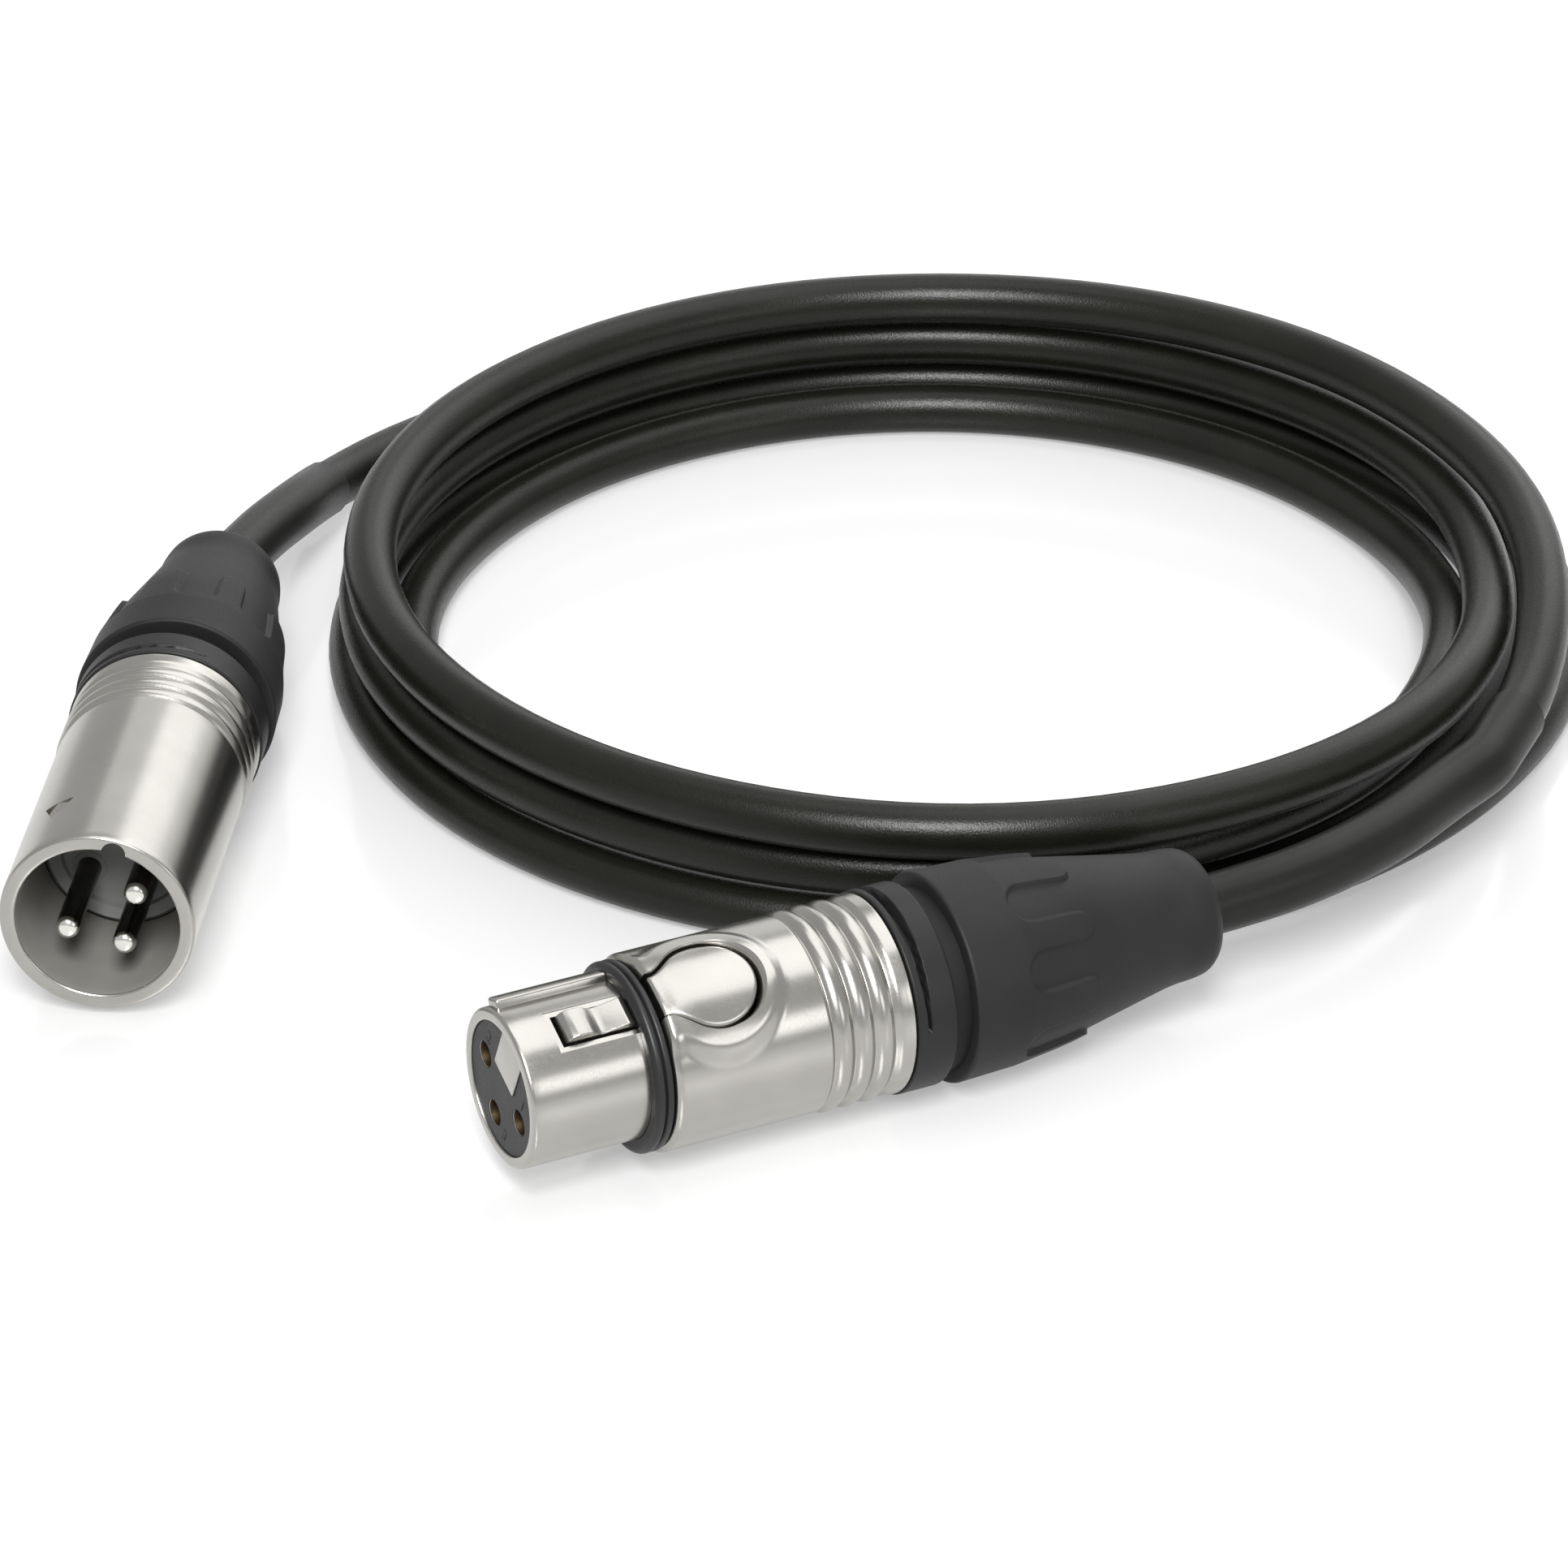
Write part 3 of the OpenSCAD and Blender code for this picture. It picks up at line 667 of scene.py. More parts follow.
def dress_node(node: str, finish: Finish) -> bpy.types.Object:
    """Gives a CAD node that keeps its own shape a better material.

    Args:
        node: The node's name.
        finish: Its surface.

    Returns:
        The node's object.
    """
    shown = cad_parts[node]
    for spot in shown.material_slots:
        spot.material = finish.material()
    LOG.info("%s keeps its CAD shape", node)
    return shown


# Cable


def station(table: Sequence[tuple[float, float]], turn: float) -> float:
    """Reads a table of stations, straight from one to the next.

    Args:
        table: Turns and values, in order.
        turn: Where it is read.

    Returns:
        The value there.
    """
    if turn <= table[0][0]:
        return table[0][1]
    for (low, first), (high, second) in zip(table, table[1:]):
        if turn <= high:
            return first + (second - first) * (turn - low) / (high - low)
    return table[-1][1]


def blended(table: Sequence[tuple[float, float]], turn: float, reach: float) -> float:
    """Reads a table over a short stretch, so that its stations run into each other.

    Args:
        table: Turns and values.
        turn: The middle of the stretch.
        reach: Half the stretch.

    Returns:
        The mean value.
    """
    spots = [turn + k * reach / BLEND_STEPS for k in range(-BLEND_STEPS, BLEND_STEPS + 1)]
    return sum(station(table, spot) for spot in spots) / len(spots)


def through(stops: Sequence[Vector], steps: int) -> list[Vector]:
    """Runs a smooth curve through stops, from the second to the last but one.

    Args:
        stops: The stops in order.
        steps: Points on each span.

    Returns:
        The curve's points.
    """
    points = []
    for a, b, c, d in zip(stops, stops[1:], stops[2:], stops[3:]):
        for s in (k / steps for k in range(steps)):
            bend = (2 * a - 5 * b + 4 * c - d) * s * s + (3 * b - a - 3 * c + d) * s ** 3
            points.append(0.5 * (2 * b + (c - a) * s + bend))
    return points + [stops[-2]]


def tube(name: str, points: Sequence[Vector], diameter: float, caps: bool) -> bpy.types.Object:
    """Makes a curve with a round section.

    Args:
        name: The curve's name.
        points: Its points in millimetres.
        diameter: The section's diameter in millimetres.
        caps: Whether its ends are closed.

    Returns:
        The curve's object.
    """
    curve = bpy.data.curves.new(name, "CURVE")
    curve.dimensions = "3D"
    curve.twist_mode = "Z_UP"
    curve.bevel_depth = diameter / 2 * MM
    curve.bevel_resolution = TUBE_STEPS
    curve.use_fill_caps = caps
    spline = curve.splines.new("POLY")
    spline.points.add(len(points) - 1)
    for spot, point in zip(spline.points, points):
        spot.co = (*(point * MM), 1.0)
    spline.use_smooth = True
    return shown(name, curve)


@dataclass
class Cable:
    """The jacketed cable from boot to boot, with a shrunk sleeve on each lead."""

    socket_axis: Placement
    plug_axis: Placement
    socket_tail: float
    plug_tail: float
    diameter: float = 5.6
    sleeve_diameter: float = 6.2
    sleeve_wall: float = 0.24
    length: float = 1.838
    middle: tuple[float, float] = (27.3, 61.0)
    turn_zero: float = 5.5
    start: float = -0.1
    end: float = 4.42
    blend: float = 0.03
    way_step: float = 0.005
    loop_points: int = 120
    lead_points: int = 8
    lead_step: float = 14.0
    stub: float = 5.9
    boot_end: float = 37.6
    hidden: float = 10.0
    clear: float = 1.0
    sleeve_start: float = 29.1
    sleeve_overrun: float = 0.008
    reach: tuple[tuple[float, float], ...] = (
        (-0.16, 73.4), (-0.125, 70.4), (-0.09, 67.1), (-0.03, 62.2), (0.0, 61.0), (0.06, 59.2),
        (0.25, 59.6), (0.5, 61.8), (0.75, 64.4), (0.88, 61.3), (0.94, 58.3), (1.0, 55.8), (1.1, 59.5),
        (1.25, 61.9), (1.5, 62.7), (1.75, 61.3), (1.87, 57.4), (1.94, 54.1), (2.0, 52.2), (2.06, 53.7),
        (2.25, 56.4), (2.5, 58.0), (2.75, 54.1), (2.92, 55.2), (2.96, 57.3), (3.0, 58.9), (3.05, 60.2),
        (3.12, 62.0), (3.25, 63.9), (3.5, 64.0), (3.75, 61.4), (3.9, 62.1), (4.0, 65.3), (4.12, 68.8),
        (4.25, 70.6), (4.34, 73.0), (4.42, 75.6), (4.5, 77.0),
    )
    height: tuple[tuple[float, float], ...] = (
        (-0.16, 11.8), (-0.1, 12.6), (-0.06, 14.5), (-0.03, 15.5), (0.0, 16.1), (0.08, 15.7), (0.25, 15.0),
        (0.75, 15.0), (0.88, 14.4), (0.94, 13.7), (1.0, 11.5), (1.05, 9.7), (1.12, 8.9), (1.96, 8.9),
        (1.99, 6.8), (2.02, 4.7), (2.07, 2.8), (2.93, 2.8), (2.97, 3.3), (3.0, 4.5), (3.04, 4.5),
        (3.1, 2.8), (4.36, 2.8), (4.42, 4.5), (4.5, 6.4),
    )
    socket_route: tuple[tuple[float, float, float], ...] = (
        (66.2, -1.5, 11.1), (74.0, 6.3, 11.6), (80.0, 15.2, 12.0),
    )
    plug_route: tuple[tuple[float, float, float], ...] = ((-48.3, 64.0, 9.3), (-46.1, 75.0, 7.5))

    def coil_point(self, turn: float) -> Vector:
        """Gives the coil's point at a turn.

        Args:
            turn: Turns from the coil's right side.

        Returns:
            The point in millimetres.
        """
        out = blended(self.reach, turn, self.blend)
        angle = math.radians(self.turn_zero + 360 * turn)
        flat = (self.middle[0] + out * math.cos(angle), self.middle[1] + out * math.sin(angle))
        return Vector((*flat, blended(self.height, turn, self.blend)))

    def coil_way(self, turn: float) -> Vector:
        """Gives the coil's direction at a turn."""
        return (self.coil_point(turn + self.way_step) - self.coil_point(turn - self.way_step)).normalized()

    def axis_point(self, axis: Placement, along: float) -> Vector:
        """Gives a point on a connector's axis in millimetres."""
        return axis.matrix() @ Vector((0, 0, along)) / MM

    def lead(
        self, axis: Placement, tail: float, route: Sequence[tuple], ends: Sequence[Vector]
    ) -> list[Vector]:
        """Runs a lead out of a connector, over its route and into the coil.

        Args:
            axis: The connector's axis.
            tail: Where the shell ends on that axis.
            route: Points of the route.
            ends: The end of the coil's straight stretch, and the coil's first point behind it.

        Returns:
            The lead's points in millimetres.
        """
        straight = [self.axis_point(axis, tail - self.stub + k * self.lead_step) for k in range(-1, 4)]
        return through([*straight, *(Vector(p) for p in route), *ends], self.lead_points)

    def leads(self) -> tuple[list[Vector], list[Vector]]:
        """Gives the socket's lead and the plug's lead, each from its connector to the coil."""
        first, last = self.coil_point(self.start), self.coil_point(self.end)
        head = first - self.diameter * self.coil_way(self.start)
        foot = last + self.diameter * self.coil_way(self.end)
        return (
            self.lead(self.socket_axis, self.socket_tail, self.socket_route, (head, first)),
            self.lead(self.plug_axis, self.plug_tail, self.plug_route, (foot, last)),
        )

    def beyond(self, points: Sequence[Vector], axis: Placement, along: float) -> list[Vector]:
        """Keeps the points of a lead that lie past a place on its connector's axis.

        Args:
            points: The lead's points.
            axis: The connector's axis.
            along: The place, which becomes the first point.

        Returns:
            The kept points.
        """
        origin = self.axis_point(axis, 0)
        way = (self.axis_point(axis, 1) - origin).normalized()
        kept = [p for p in points if (p - origin).dot(way) > along + self.clear]
        return [self.axis_point(axis, along), *kept]

    def build(self) -> bpy.types.Object:
        """Makes the jacket as one unbroken tube.

        Returns:
            The jacket.
        """
        from_socket, from_plug = self.leads()
        steps = round((self.end - self.start) * self.loop_points)
        turns = [self.start + (self.end - self.start) * k / steps for k in range(steps + 1)]
        inside = self.boot_end - self.hidden
        points = [
            *self.beyond(from_socket, self.socket_axis, self.socket_tail + inside),
            *(self.coil_point(turn) for turn in turns),
            *reversed(self.beyond(from_plug, self.plug_axis, self.plug_tail + inside)),
        ]
        jacket = tube("cable_jacket", points, self.diameter, True)
        jacket.data.materials.append(PVC.material())
        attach(jacket, Body.CABLE.value)
        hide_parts("cable_coil", "cable_lead_female", "cable_lead_male")
        run = sum((b - a).length for a, b in zip(points, points[1:])) * MM
        LOG.info("cable_jacket: %d points, %.3f m", len(points), run)
        return jacket

    def sleeve(self, name: str, points: Sequence[Vector], node: str) -> bpy.types.Object:
        """Makes a sleeve as a hollow tube.

        Args:
            name: The sleeve's name.
            points: Its points in millimetres.
            node: The CAD node that it replaces.

        Returns:
            The sleeve.
        """
        bm = weld(mesh_of(tube(name + "_line", points, self.sleeve_diameter, False)), MERGE * MM)
        bmesh.ops.solidify(bm, geom=bm.faces[:], thickness=self.sleeve_wall * MM)
        return finish_piece(name, bm, Matrix.Identity(4), POLYOLEFIN, [node])

    def sleeves(self) -> list[bpy.types.Object]:
        """Makes both sleeves.

        Returns:
            The socket's sleeve and the plug's sleeve.
        """
        from_socket, from_plug = self.leads()
        from_socket.append(self.coil_point(self.start + self.sleeve_overrun))
        on_socket = self.beyond(from_socket, self.socket_axis, self.socket_tail + self.sleeve_start)
        on_plug = self.beyond(from_plug, self.plug_axis, self.plug_tail + self.sleeve_start)
        return [
            self.sleeve("socket_sleeve", on_socket, "female_label_sleeve"),
            self.sleeve("plug_sleeve", on_plug, "male_label_sleeve"),
        ]

    def declare(self) -> None:
        """Works out, in metres, where the cable leaves the socket's boot; nothing uses that place.
        """
        leaves = self.axis_point(self.socket_axis, self.socket_tail + self.boot_end) * MM


# Tails of the connectors


@dataclass
class Tail:
    """Collar, bushing, clamp and boot behind a shell, measured from the shell's rear edge."""

    prefix: str
    cad: str
    axis: Placement
    shell_end: float
    slit: tuple[float, float]
    wave_pair: tuple[float, float]
    wave_height: float = 0.5
    wave_edge: float = 0.24
    wave_groups: int = 4
    hollow_half: float = 1.85
    root: float = 12.5
    band_end: float = 20.6
    front: float = 6.3
    end: float = 36.0
    mean_reach: float = 9.4
    tip_round: float = 1.5
    boot_steps: int = 400
    lining_depth: float = 0.45
    relief_past: float = 0.5
    fine_reach: tuple[float, float] = (8.4, 8.9)
    fine_along: tuple[float, float] = (14.0, 23.0)
    boot_edges: tuple[float, float] = (0.15, 0.9)
    collar_bore: float = 8.36
    collar_reach: float = 10.05
    collar_ends: tuple[float, float] = (0.1, 4.3)
    collar_edges: tuple[float, float] = (0.07, 0.6)
    collar_skin: tuple[float, float] = (9.7, 9.9)
    collar_steps: int = 300
    slit_along: float = 1.3
    slit_half: tuple[float, float] = (0.16, 0.34)
    slit_taper: float = 70.0
    slit_depth: float = 1.5
    slit_edge: float = 0.05

    def place(self) -> Matrix:
        """Gives the matrix that puts the tail behind its shell."""
        return self.axis.matrix() @ Matrix.Translation((0, 0, self.shell_end))

    def arc(self) -> float:
        """Gives the millimetres in one degree round the boot."""
        return math.radians(1) * self.mean_reach

    def fingers(self) -> list[tuple[float, float]]:
        """Gives the middle angle and half width of each finger between two hollows.

        Returns:
            Angles in degrees with half widths in millimetres.
        """
        step = FULL_TURN / self.wave_groups
        first, second = self.wave_pair
        spans = [(first, second), (second, first + step)]
        return [
            ((low + high) / 2 + k * step, (high - low) / 2 * self.arc() - self.hollow_half)
            for k in range(self.wave_groups) for low, high in spans
        ]

    def raised(self, angle: float, along: float) -> float:
        """Gives how far a point of the boot lies inside the raised band, less than nothing outside it.

        Args:
            angle: The point's angle in degrees.
            along: Its place along the axis.

        Returns:
            The distance from the band's edge in millimetres.
        """
        arc = self.arc()
        step = FULL_TURN / self.wave_groups
        spots = [t + k * step for t in self.wave_pair for k in (-1, 0, 1)]
        side = min(abs(angle % step - t) for t in spots) * arc
        inside = math.hypot(side, min(0.0, along - self.root - self.hollow_half)) - self.hollow_half
        for middle, half in self.fingers():
            off = abs((angle - middle + 180) % 360 - 180) * arc
            if off < half + self.hollow_half:
                bend = min(self.tip_round, half)
                corner = math.hypot(max(off - half + bend, 0.0), max(along - self.band_end + bend, 0.0))
                inside = min(inside, bend - corner) if along > self.root + self.hollow_half else inside
        return inside

    def boot(self) -> bpy.types.Object:
        """Makes the tapered boot with its raised, fingered band.

        Returns:
            The boot.
        """
        outer = [
            Corner(9.95, self.front, 0.35), Corner(9.75, self.root), Corner(9.1, 18.3, 1.5),
            Corner(8.65, self.band_end, 0.8), Corner(7.1, 28.5, 1.2), Corner(6.6, 31.2, 1.2),
            Corner(6.55, 33.2, 0.6), Corner(6.3, 34.8, 0.5), Corner(5.5, 35.75, 0.3),
            Corner(4.6, self.end, 0.3),
        ]
        inner = [
            Corner(3.25, self.end, 0.15), Corner(3.25, 28.7), Corner(7.62, 20), Corner(8.82, self.root),
            Corner(8.82, self.front, 0.2),
        ]
        wall = [(corner.along, corner.reach) for corner in outer]

        def longest(reach: float, along: float) -> float:
            """Keeps edges short where the band is raised."""
            least, always = self.fine_reach
            start, end = self.fine_along
            fine, coarse = self.boot_edges
            raised = reach > always or start < along < end and reach > least
            return fine if raised else coarse

        def height(angle: float, along: float, reach: float) -> float:
            """Lifts the band over the boot's cone."""
            if reach < station(wall, along) - self.lining_depth or along > self.band_end + self.relief_past:
                return reach
            return reach + self.wave_height * smooth_step(0.0, self.wave_edge, self.raised(angle, along))

        bm = bmesh.new()
        profile(bm, outer + inner)
        refine(bm, longest)
        turn_wire(bm, [Sector(FULL_TURN, self.boot_steps)])
        relieve(bm, height)
        return finish_piece(self.prefix + "_boot", bm, self.place(), POLYURETHANE, [self.cad + "_boot"])

    def collar(self) -> bpy.types.Object:
        """Makes the slit collar behind the shell.

        Returns:
            The collar.
        """
        bore, wide = self.collar_bore, self.collar_reach
        front, back = self.collar_ends
        low, high = self.slit
        thin, more = self.slit_half
        inside, outside = self.collar_skin
        bm = bmesh.new()
        profile(bm, [
            Corner(bore, front), Corner(wide, front, 0.2), Corner(wide, back, 0.3), Corner(bore, back),
        ])
        fine, coarse = self.collar_edges
        refine(bm, lambda reach, along: fine if reach > outside else coarse)
        turn_wire(bm, [Sector(FULL_TURN, self.collar_steps)])

        def height(angle: float, along: float, reach: float) -> float:
            """Sinks the slit, which runs out to a point at both ends."""
            if reach < inside:
                return reach
            room = min(angle - low, high - angle)
            half = thin + more * smooth_step(0, self.slit_taper, room)
            end = max(half - math.radians(room) * reach, 0.0)
            within = half - math.hypot(along - self.slit_along, end)
            return reach - self.slit_depth * smooth_step(-self.slit_edge, self.slit_edge, within)

        relieve(bm, height)
        return finish_piece(self.prefix + "_collar", bm, self.place(), ACETAL, [self.cad + "_coding_ring"])

    def dress(self) -> list[bpy.types.Object]:
        """Dresses the bushing, clamp and wires, which keep their CAD shapes.

        Returns:
            The bushing, which shows between collar and boot.
        """
        dress_node(self.cad + "_chuck", CLAMP)
        for number, finish in enumerate((WIRE_RED, WIRE_WHITE, WIRE_BLUE), 1):
            dress_node(f"{self.cad}_wire_{number}", finish)
        # The bushing gets the acetal painted near black: painted shade of its groove.
        return [dress_node(self.cad + "_bushing", ACETAL_DULL_PAINTED_SHADE)]


# Shells


@dataclass(frozen=True)
class Ribs:
    """The beads behind a shell's grip, and its rear flange."""

    span: float = 8.7
    pitch: float = 2.15
    beads: int = 3
    groove: float = 0.3
    rise: float = 0.22
    lead_in: float = 0.15
    groove_along: float = 0.2
    bead_along: tuple[float, float] = (0.75, 1.6)
    bead_round: float = 0.4
    flange_along: float = 0.8
    flange_rise: tuple[float, float] = (0.1, 0.25)

    def corners(self, reach: float, length: float) -> list[Corner]:
        """Draws the profile from the grip to the rear edge.

        Args:
            reach: The shell's reach.
            length: Where the shell ends.

        Returns:
            Corners of the profile.
        """
        start = length - self.span
        drawn = [Corner(reach, start - self.lead_in, 0.1)]
        for k in range(self.beads + 1):
            foot = start + k * self.pitch
            drawn.append(Corner(reach - self.groove, foot + self.groove_along, 0.08))
            if k < self.beads:
                drawn += [Corner(reach + self.rise, foot + t, self.bead_round) for t in self.bead_along]
        low, high = self.flange_rise
        return [
            *drawn, Corner(reach + low, foot + self.flange_along, 0.2), Corner(reach + high, length, 0.25),
        ]


@dataclass(frozen=True)
class Ring:
    """A ring of the paddle or of its recess: a share of the outline, an offset, and a height.

    The height is either a fixed one, or a rise over the surface around it.
    """

    share: float
    offset: float
    fixed: float | None = None
    rise: float = 0.0


@dataclass
class Socket:
    """The socket's shell with tongue and key, its numbered contacts, its rubber ring and its latch."""

    axis: Placement
    length: float = 38.9
    reach: float = 9.65
    nose_reach: float = 7.8
    bore: float = 6.6
    tail_bore: float = 8.35
    bore_end: float = 20.35
    flange: float = 13.9
    window_start: float = 4.5
    window_half: float = 1.75
    window_step: float = 0.42
    window_wider: float = 0.546
    window_past: float = 0.4
    window_foot: float = 4.8
    window_depth: float = 4.2
    grip_end: float = 28.0
    lip_end: float = 28.5
    wall_reach: tuple[float, float] = (9.0, 9.6)
    shell_steps: tuple[int, int] = (110, 96)
    tongue_half: float = 2.15
    edge_round: float = 0.12
    key_angle: float = -45.0
    key_half: float = 1.0
    key_reach: tuple[float, float] = (7.2, 8.6)
    key_along: tuple[float, float] = (0.6, 12.1)
    key_round: float = 0.28
    key_steps: int = 4
    shell_edges: tuple[float, float, float] = (0.2, 0.4, 1.2)
    paddle_along: float = 19.8
    paddle_reach: float = 4.6
    neck_half: float = 2.25
    neck_start: float = 14.3
    neck_blend: float = 1.6
    paddle_blend: float = 0.9
    paddle_rings: int = 20
    gap_least: float = 0.22
    gap_more: float = 0.1
    gap_along: tuple[float, float] = (18.0, 24.0)
    notch: float = 0.35
    notch_along: tuple[float, float] = (14.7, 15.2)
    lip_height: float = 0.55
    lip_crest: tuple[float, float] = (1.0, 2.8)
    lip_front: float = 3.0
    lip_along: tuple[float, float] = (14.0, 17.0)
    lip_least: float = 0.75
    recess_front: float = 13.0
    recess_rear: tuple[float, float] = (20.5, 24.0)
    rear_wider: float = 2.2
    rear_deeper: float = 3.0
    fine_half: float = 60.0
    outline_points: int = 256
    search_reach: float = 12.0
    search_steps: int = 30
    hook_sides: tuple[float, float] = (-1.6, 1.48)
    ring_edges: float = 0.4
    ring_steps: int = 160
    contact_edges: float = 2.0
    contact_steps: int = 64
    contact_ring: float = 4.05
    contact_turns: tuple[float, float, float] = (90.0, 180.0, -90.0)
    mouth_end: float = 0.45
    insert_face: float = 0.25
    digit_size: float = 1.9
    digit_rise: float = 0.09
    spring_turns: int = 4
    spring_steps: int = 24
    spring_reach: float = 1.5
    spring_wire: float = 0.4
    spring_along: float = 18.0
    spring_ends: tuple[float, float] = (3.62, 8.05)
    spring_keep: float = 0.55
    digit_spots: tuple[tuple[float, float], ...] = ((2.4, 3.85), (2.4, -4.25), (-4.5, 2.45))
    tongue_side: tuple[tuple[float, float], ...] = (
        (1.75, 0.02), (6.75, 0.02), (6.75, 1.5), (2.6, 1.5), (2.6, 12.0), (1.75, 12.0),
    )
    recess_rings: tuple[Ring, ...] = (
        Ring(1, 0.0, fixed=4.5), Ring(1, 0.0, rise=-0.24), Ring(1, 0.04, rise=-0.13),
        Ring(1, 0.11, rise=-0.05), Ring(1, 0.2, rise=0.03), Ring(1, 0.3, rise=0.14), Ring(1, 0.3, rise=0.7),
        Ring(1, 0.3, fixed=12.0),
    )
    paddle_edge: tuple[Ring, ...] = (
        Ring(0.05, 0, rise=-1.4), Ring(0.6, 0, rise=-1.4), Ring(1, -0.15, rise=-1.4), Ring(1, 0, rise=-1.25),
        Ring(1, 0, rise=-0.36), Ring(1, -0.05, rise=-0.16), Ring(1, -0.16, rise=-0.04), Ring(1, -0.36),
    )
    ring_profile: tuple[Corner, ...] = (
        Corner(7.85, 12.0), Corner(8.75, 12.0, 0.15), Corner(9.3, 12.3, 0.2), Corner(9.3, 12.75, 0.12),
        Corner(8.9, 12.95, 0.05), Corner(9.3, 13.15, 0.12), Corner(9.3, 13.65, 0.2), Corner(8.9, 13.85, 0.1),
        Corner(7.85, 13.85),
    )
    contact_profile: tuple[Corner, ...] = (
        Corner(0, 13), Corner(1.18, 13), Corner(1.18, 0.6), Corner(1.33, 0.3, 0.06), Corner(1.33, 1.35),
        Corner(1.6, 1.35), Corner(1.6, 20.2, 0.1), Corner(1.3, 20.2), Corner(1.3, 24.0, 0.1), Corner(0, 24.0),
    )
    paddle_top: tuple[tuple[float, float], ...] = (
        (14.3, 9.45), (15.2, 9.75), (16.7, 9.95), (19.8, 9.88), (23.2, 9.95), (24.4, 9.75),
    )
    lever_side: tuple[tuple[float, float], ...] = (
        (5.6, 2.9), (5.7, 4.2), (6.0, 4.8), (7.3, 4.86), (7.85, 5.05), (8.2, 5.45), (8.38, 6.1),
        (8.36, 6.8), (8.16, 7.5), (7.82, 8.1), (7.58, 8.6), (7.66, 9.05), (8.2, 11.2), (7.98, 11.85),
        (7.3, 11.95), (7.3, 14.3), (9.1, 14.5), (9.1, 17.0), (7.2, 15.8), (5.9, 13.4), (5.4, 8.25),
        (4.0, 4.2), (3.8, 2.9),
    )

    def pear(self, side: float, along: float, front: float) -> float:
        """Measures how far a point lies outside the paddle's outline.

        Args:
            side: The point's place across the axis.
            along: Its place along the axis.
            front: Where the neck starts.

        Returns:
            The distance, less than nothing inside.
        """
        disc = math.hypot(side, along - self.paddle_along) - self.paddle_reach
        neck = max(abs(side) - self.neck_half, front - along, along - self.paddle_along)
        share = min(max(0.5 + 0.5 * (neck - disc) / self.neck_blend, 0.0), 1.0)
        return neck + (disc - neck) * share - self.neck_blend * share * (1 - share)

    def pear_reach(self, angle: float, front: float) -> float:
        """Finds the outline from the paddle's middle.

        Args:
            angle: The way, in radians from the tail.
            front: Where the neck starts.

        Returns:
            The outline's distance that way.
        """
        low, high = 0.0, self.search_reach
        for _ in range(self.search_steps):
            middle = (low + high) / 2
            side, along = middle * math.sin(angle), self.paddle_along + middle * math.cos(angle)
            low, high = (low, middle) if self.pear(side, along, front) > 0 else (middle, high)
        return low

    def gap(self, along: float) -> float:
        """Gives the gap around the paddle, which is wider at its rear and at the neck."""
        notch = self.notch * (1 - smooth_step(*self.notch_along, along))
        return self.gap_least + self.gap_more * smooth_step(*self.gap_along, along) + notch

    def lip(self, side: float, along: float) -> float:
        """Gives the height of the raised lip around the paddle.

        Args:
            side: The place across the axis.
            along: The place along the axis.

        Returns:
            The height over the shell.
        """
        past = self.pear(side, along, self.neck_start - self.lip_front) - self.gap(along)
        crest = 1 - smooth_step(*self.lip_crest, past)
        grown = self.lip_least + (1 - self.lip_least) * smooth_step(*self.lip_along, along)
        return self.lip_height * crest * grown

    def outline_point(
        self, angle: float, ring: Ring, front: float, surface: Callable[[float, float], float]
    ) -> tuple[float, float, float]:
        """Gives a point of a ring that follows the paddle's outline.

        Args:
            angle: The way from the paddle's middle.
            ring: The ring.
            front: Where the neck starts.
            surface: Gives the reach of the surface around the ring.

        Returns:
            The point.
        """
        out = self.pear_reach(angle, front) * ring.share + ring.offset
        side, along = out * math.sin(angle), self.paddle_along + out * math.cos(angle)
        if ring.fixed is not None:
            return ring.fixed, side, along
        reach = surface(side, along) + ring.rise
        return math.sqrt(reach * reach - side * side), side, along

    def recess(self) -> bmesh.types.BMesh:
        """Makes the cutter of the paddle's recess, which rounds the recess's edge.

        Returns:
            The cutter.
        """
        front = self.recess_front

        def place(angle: float, level: int) -> tuple[float, float, float]:
            """Widens the outline by the gap at its own place."""
            ring = self.recess_rings[level]
            along = self.paddle_along + self.pear_reach(angle, front) * math.cos(angle)
            rear = smooth_step(*self.recess_rear, along)
            offset = ring.offset * (1 + self.rear_wider * rear) + self.gap(along)
            wide = Ring(ring.share, offset, ring.fixed, ring.rise * (1 + self.rear_deeper * rear))
            return self.outline_point(angle, wide, front, lambda s, t: self.reach + self.lip(s, t))

        return swept_plug(len(self.recess_rings), self.outline_points, place)

    def window(self, foot: float, depth: float, wider: float = 0.0) -> bmesh.types.BMesh:
        """Makes a cutter of the hook's window in the nose.

        Args:
            foot: How far from the axis it starts.
            depth: How high it is.
            wider: How far it goes past the window in front and at the sides.

        Returns:
            The cutter.
        """
        low, high, half = self.window_start - wider, self.flange + self.window_past, self.window_half + wider
        outline = [(foot, -half, low), (foot, half, low), (foot, half, high), (foot, -half, high)]
        return prism(outline, (depth, 0, 0))

    def shell(self) -> bpy.types.Object:
        """Makes the shell.

        Returns:
            The shell.
        """
        inside, outside = self.wall_reach
        fine, middling, coarse = self.shell_edges

        def longest(reach: float, along: float) -> float:
            """Keeps edges short on the outer wall, and shortest around the paddle."""
            if reach <= inside:
                return coarse
            return fine if self.recess_front < along < self.grip_end else middling

        def height(angle: float, along: float, reach: float) -> float:
            """Raises the lip on the outer wall."""
            if reach < inside or along > self.lip_end or abs(angle) > self.fine_half:
                return reach
            side = self.reach * math.sin(math.radians(angle))
            return reach + self.lip(side, along) * smooth_step(inside, outside, reach)

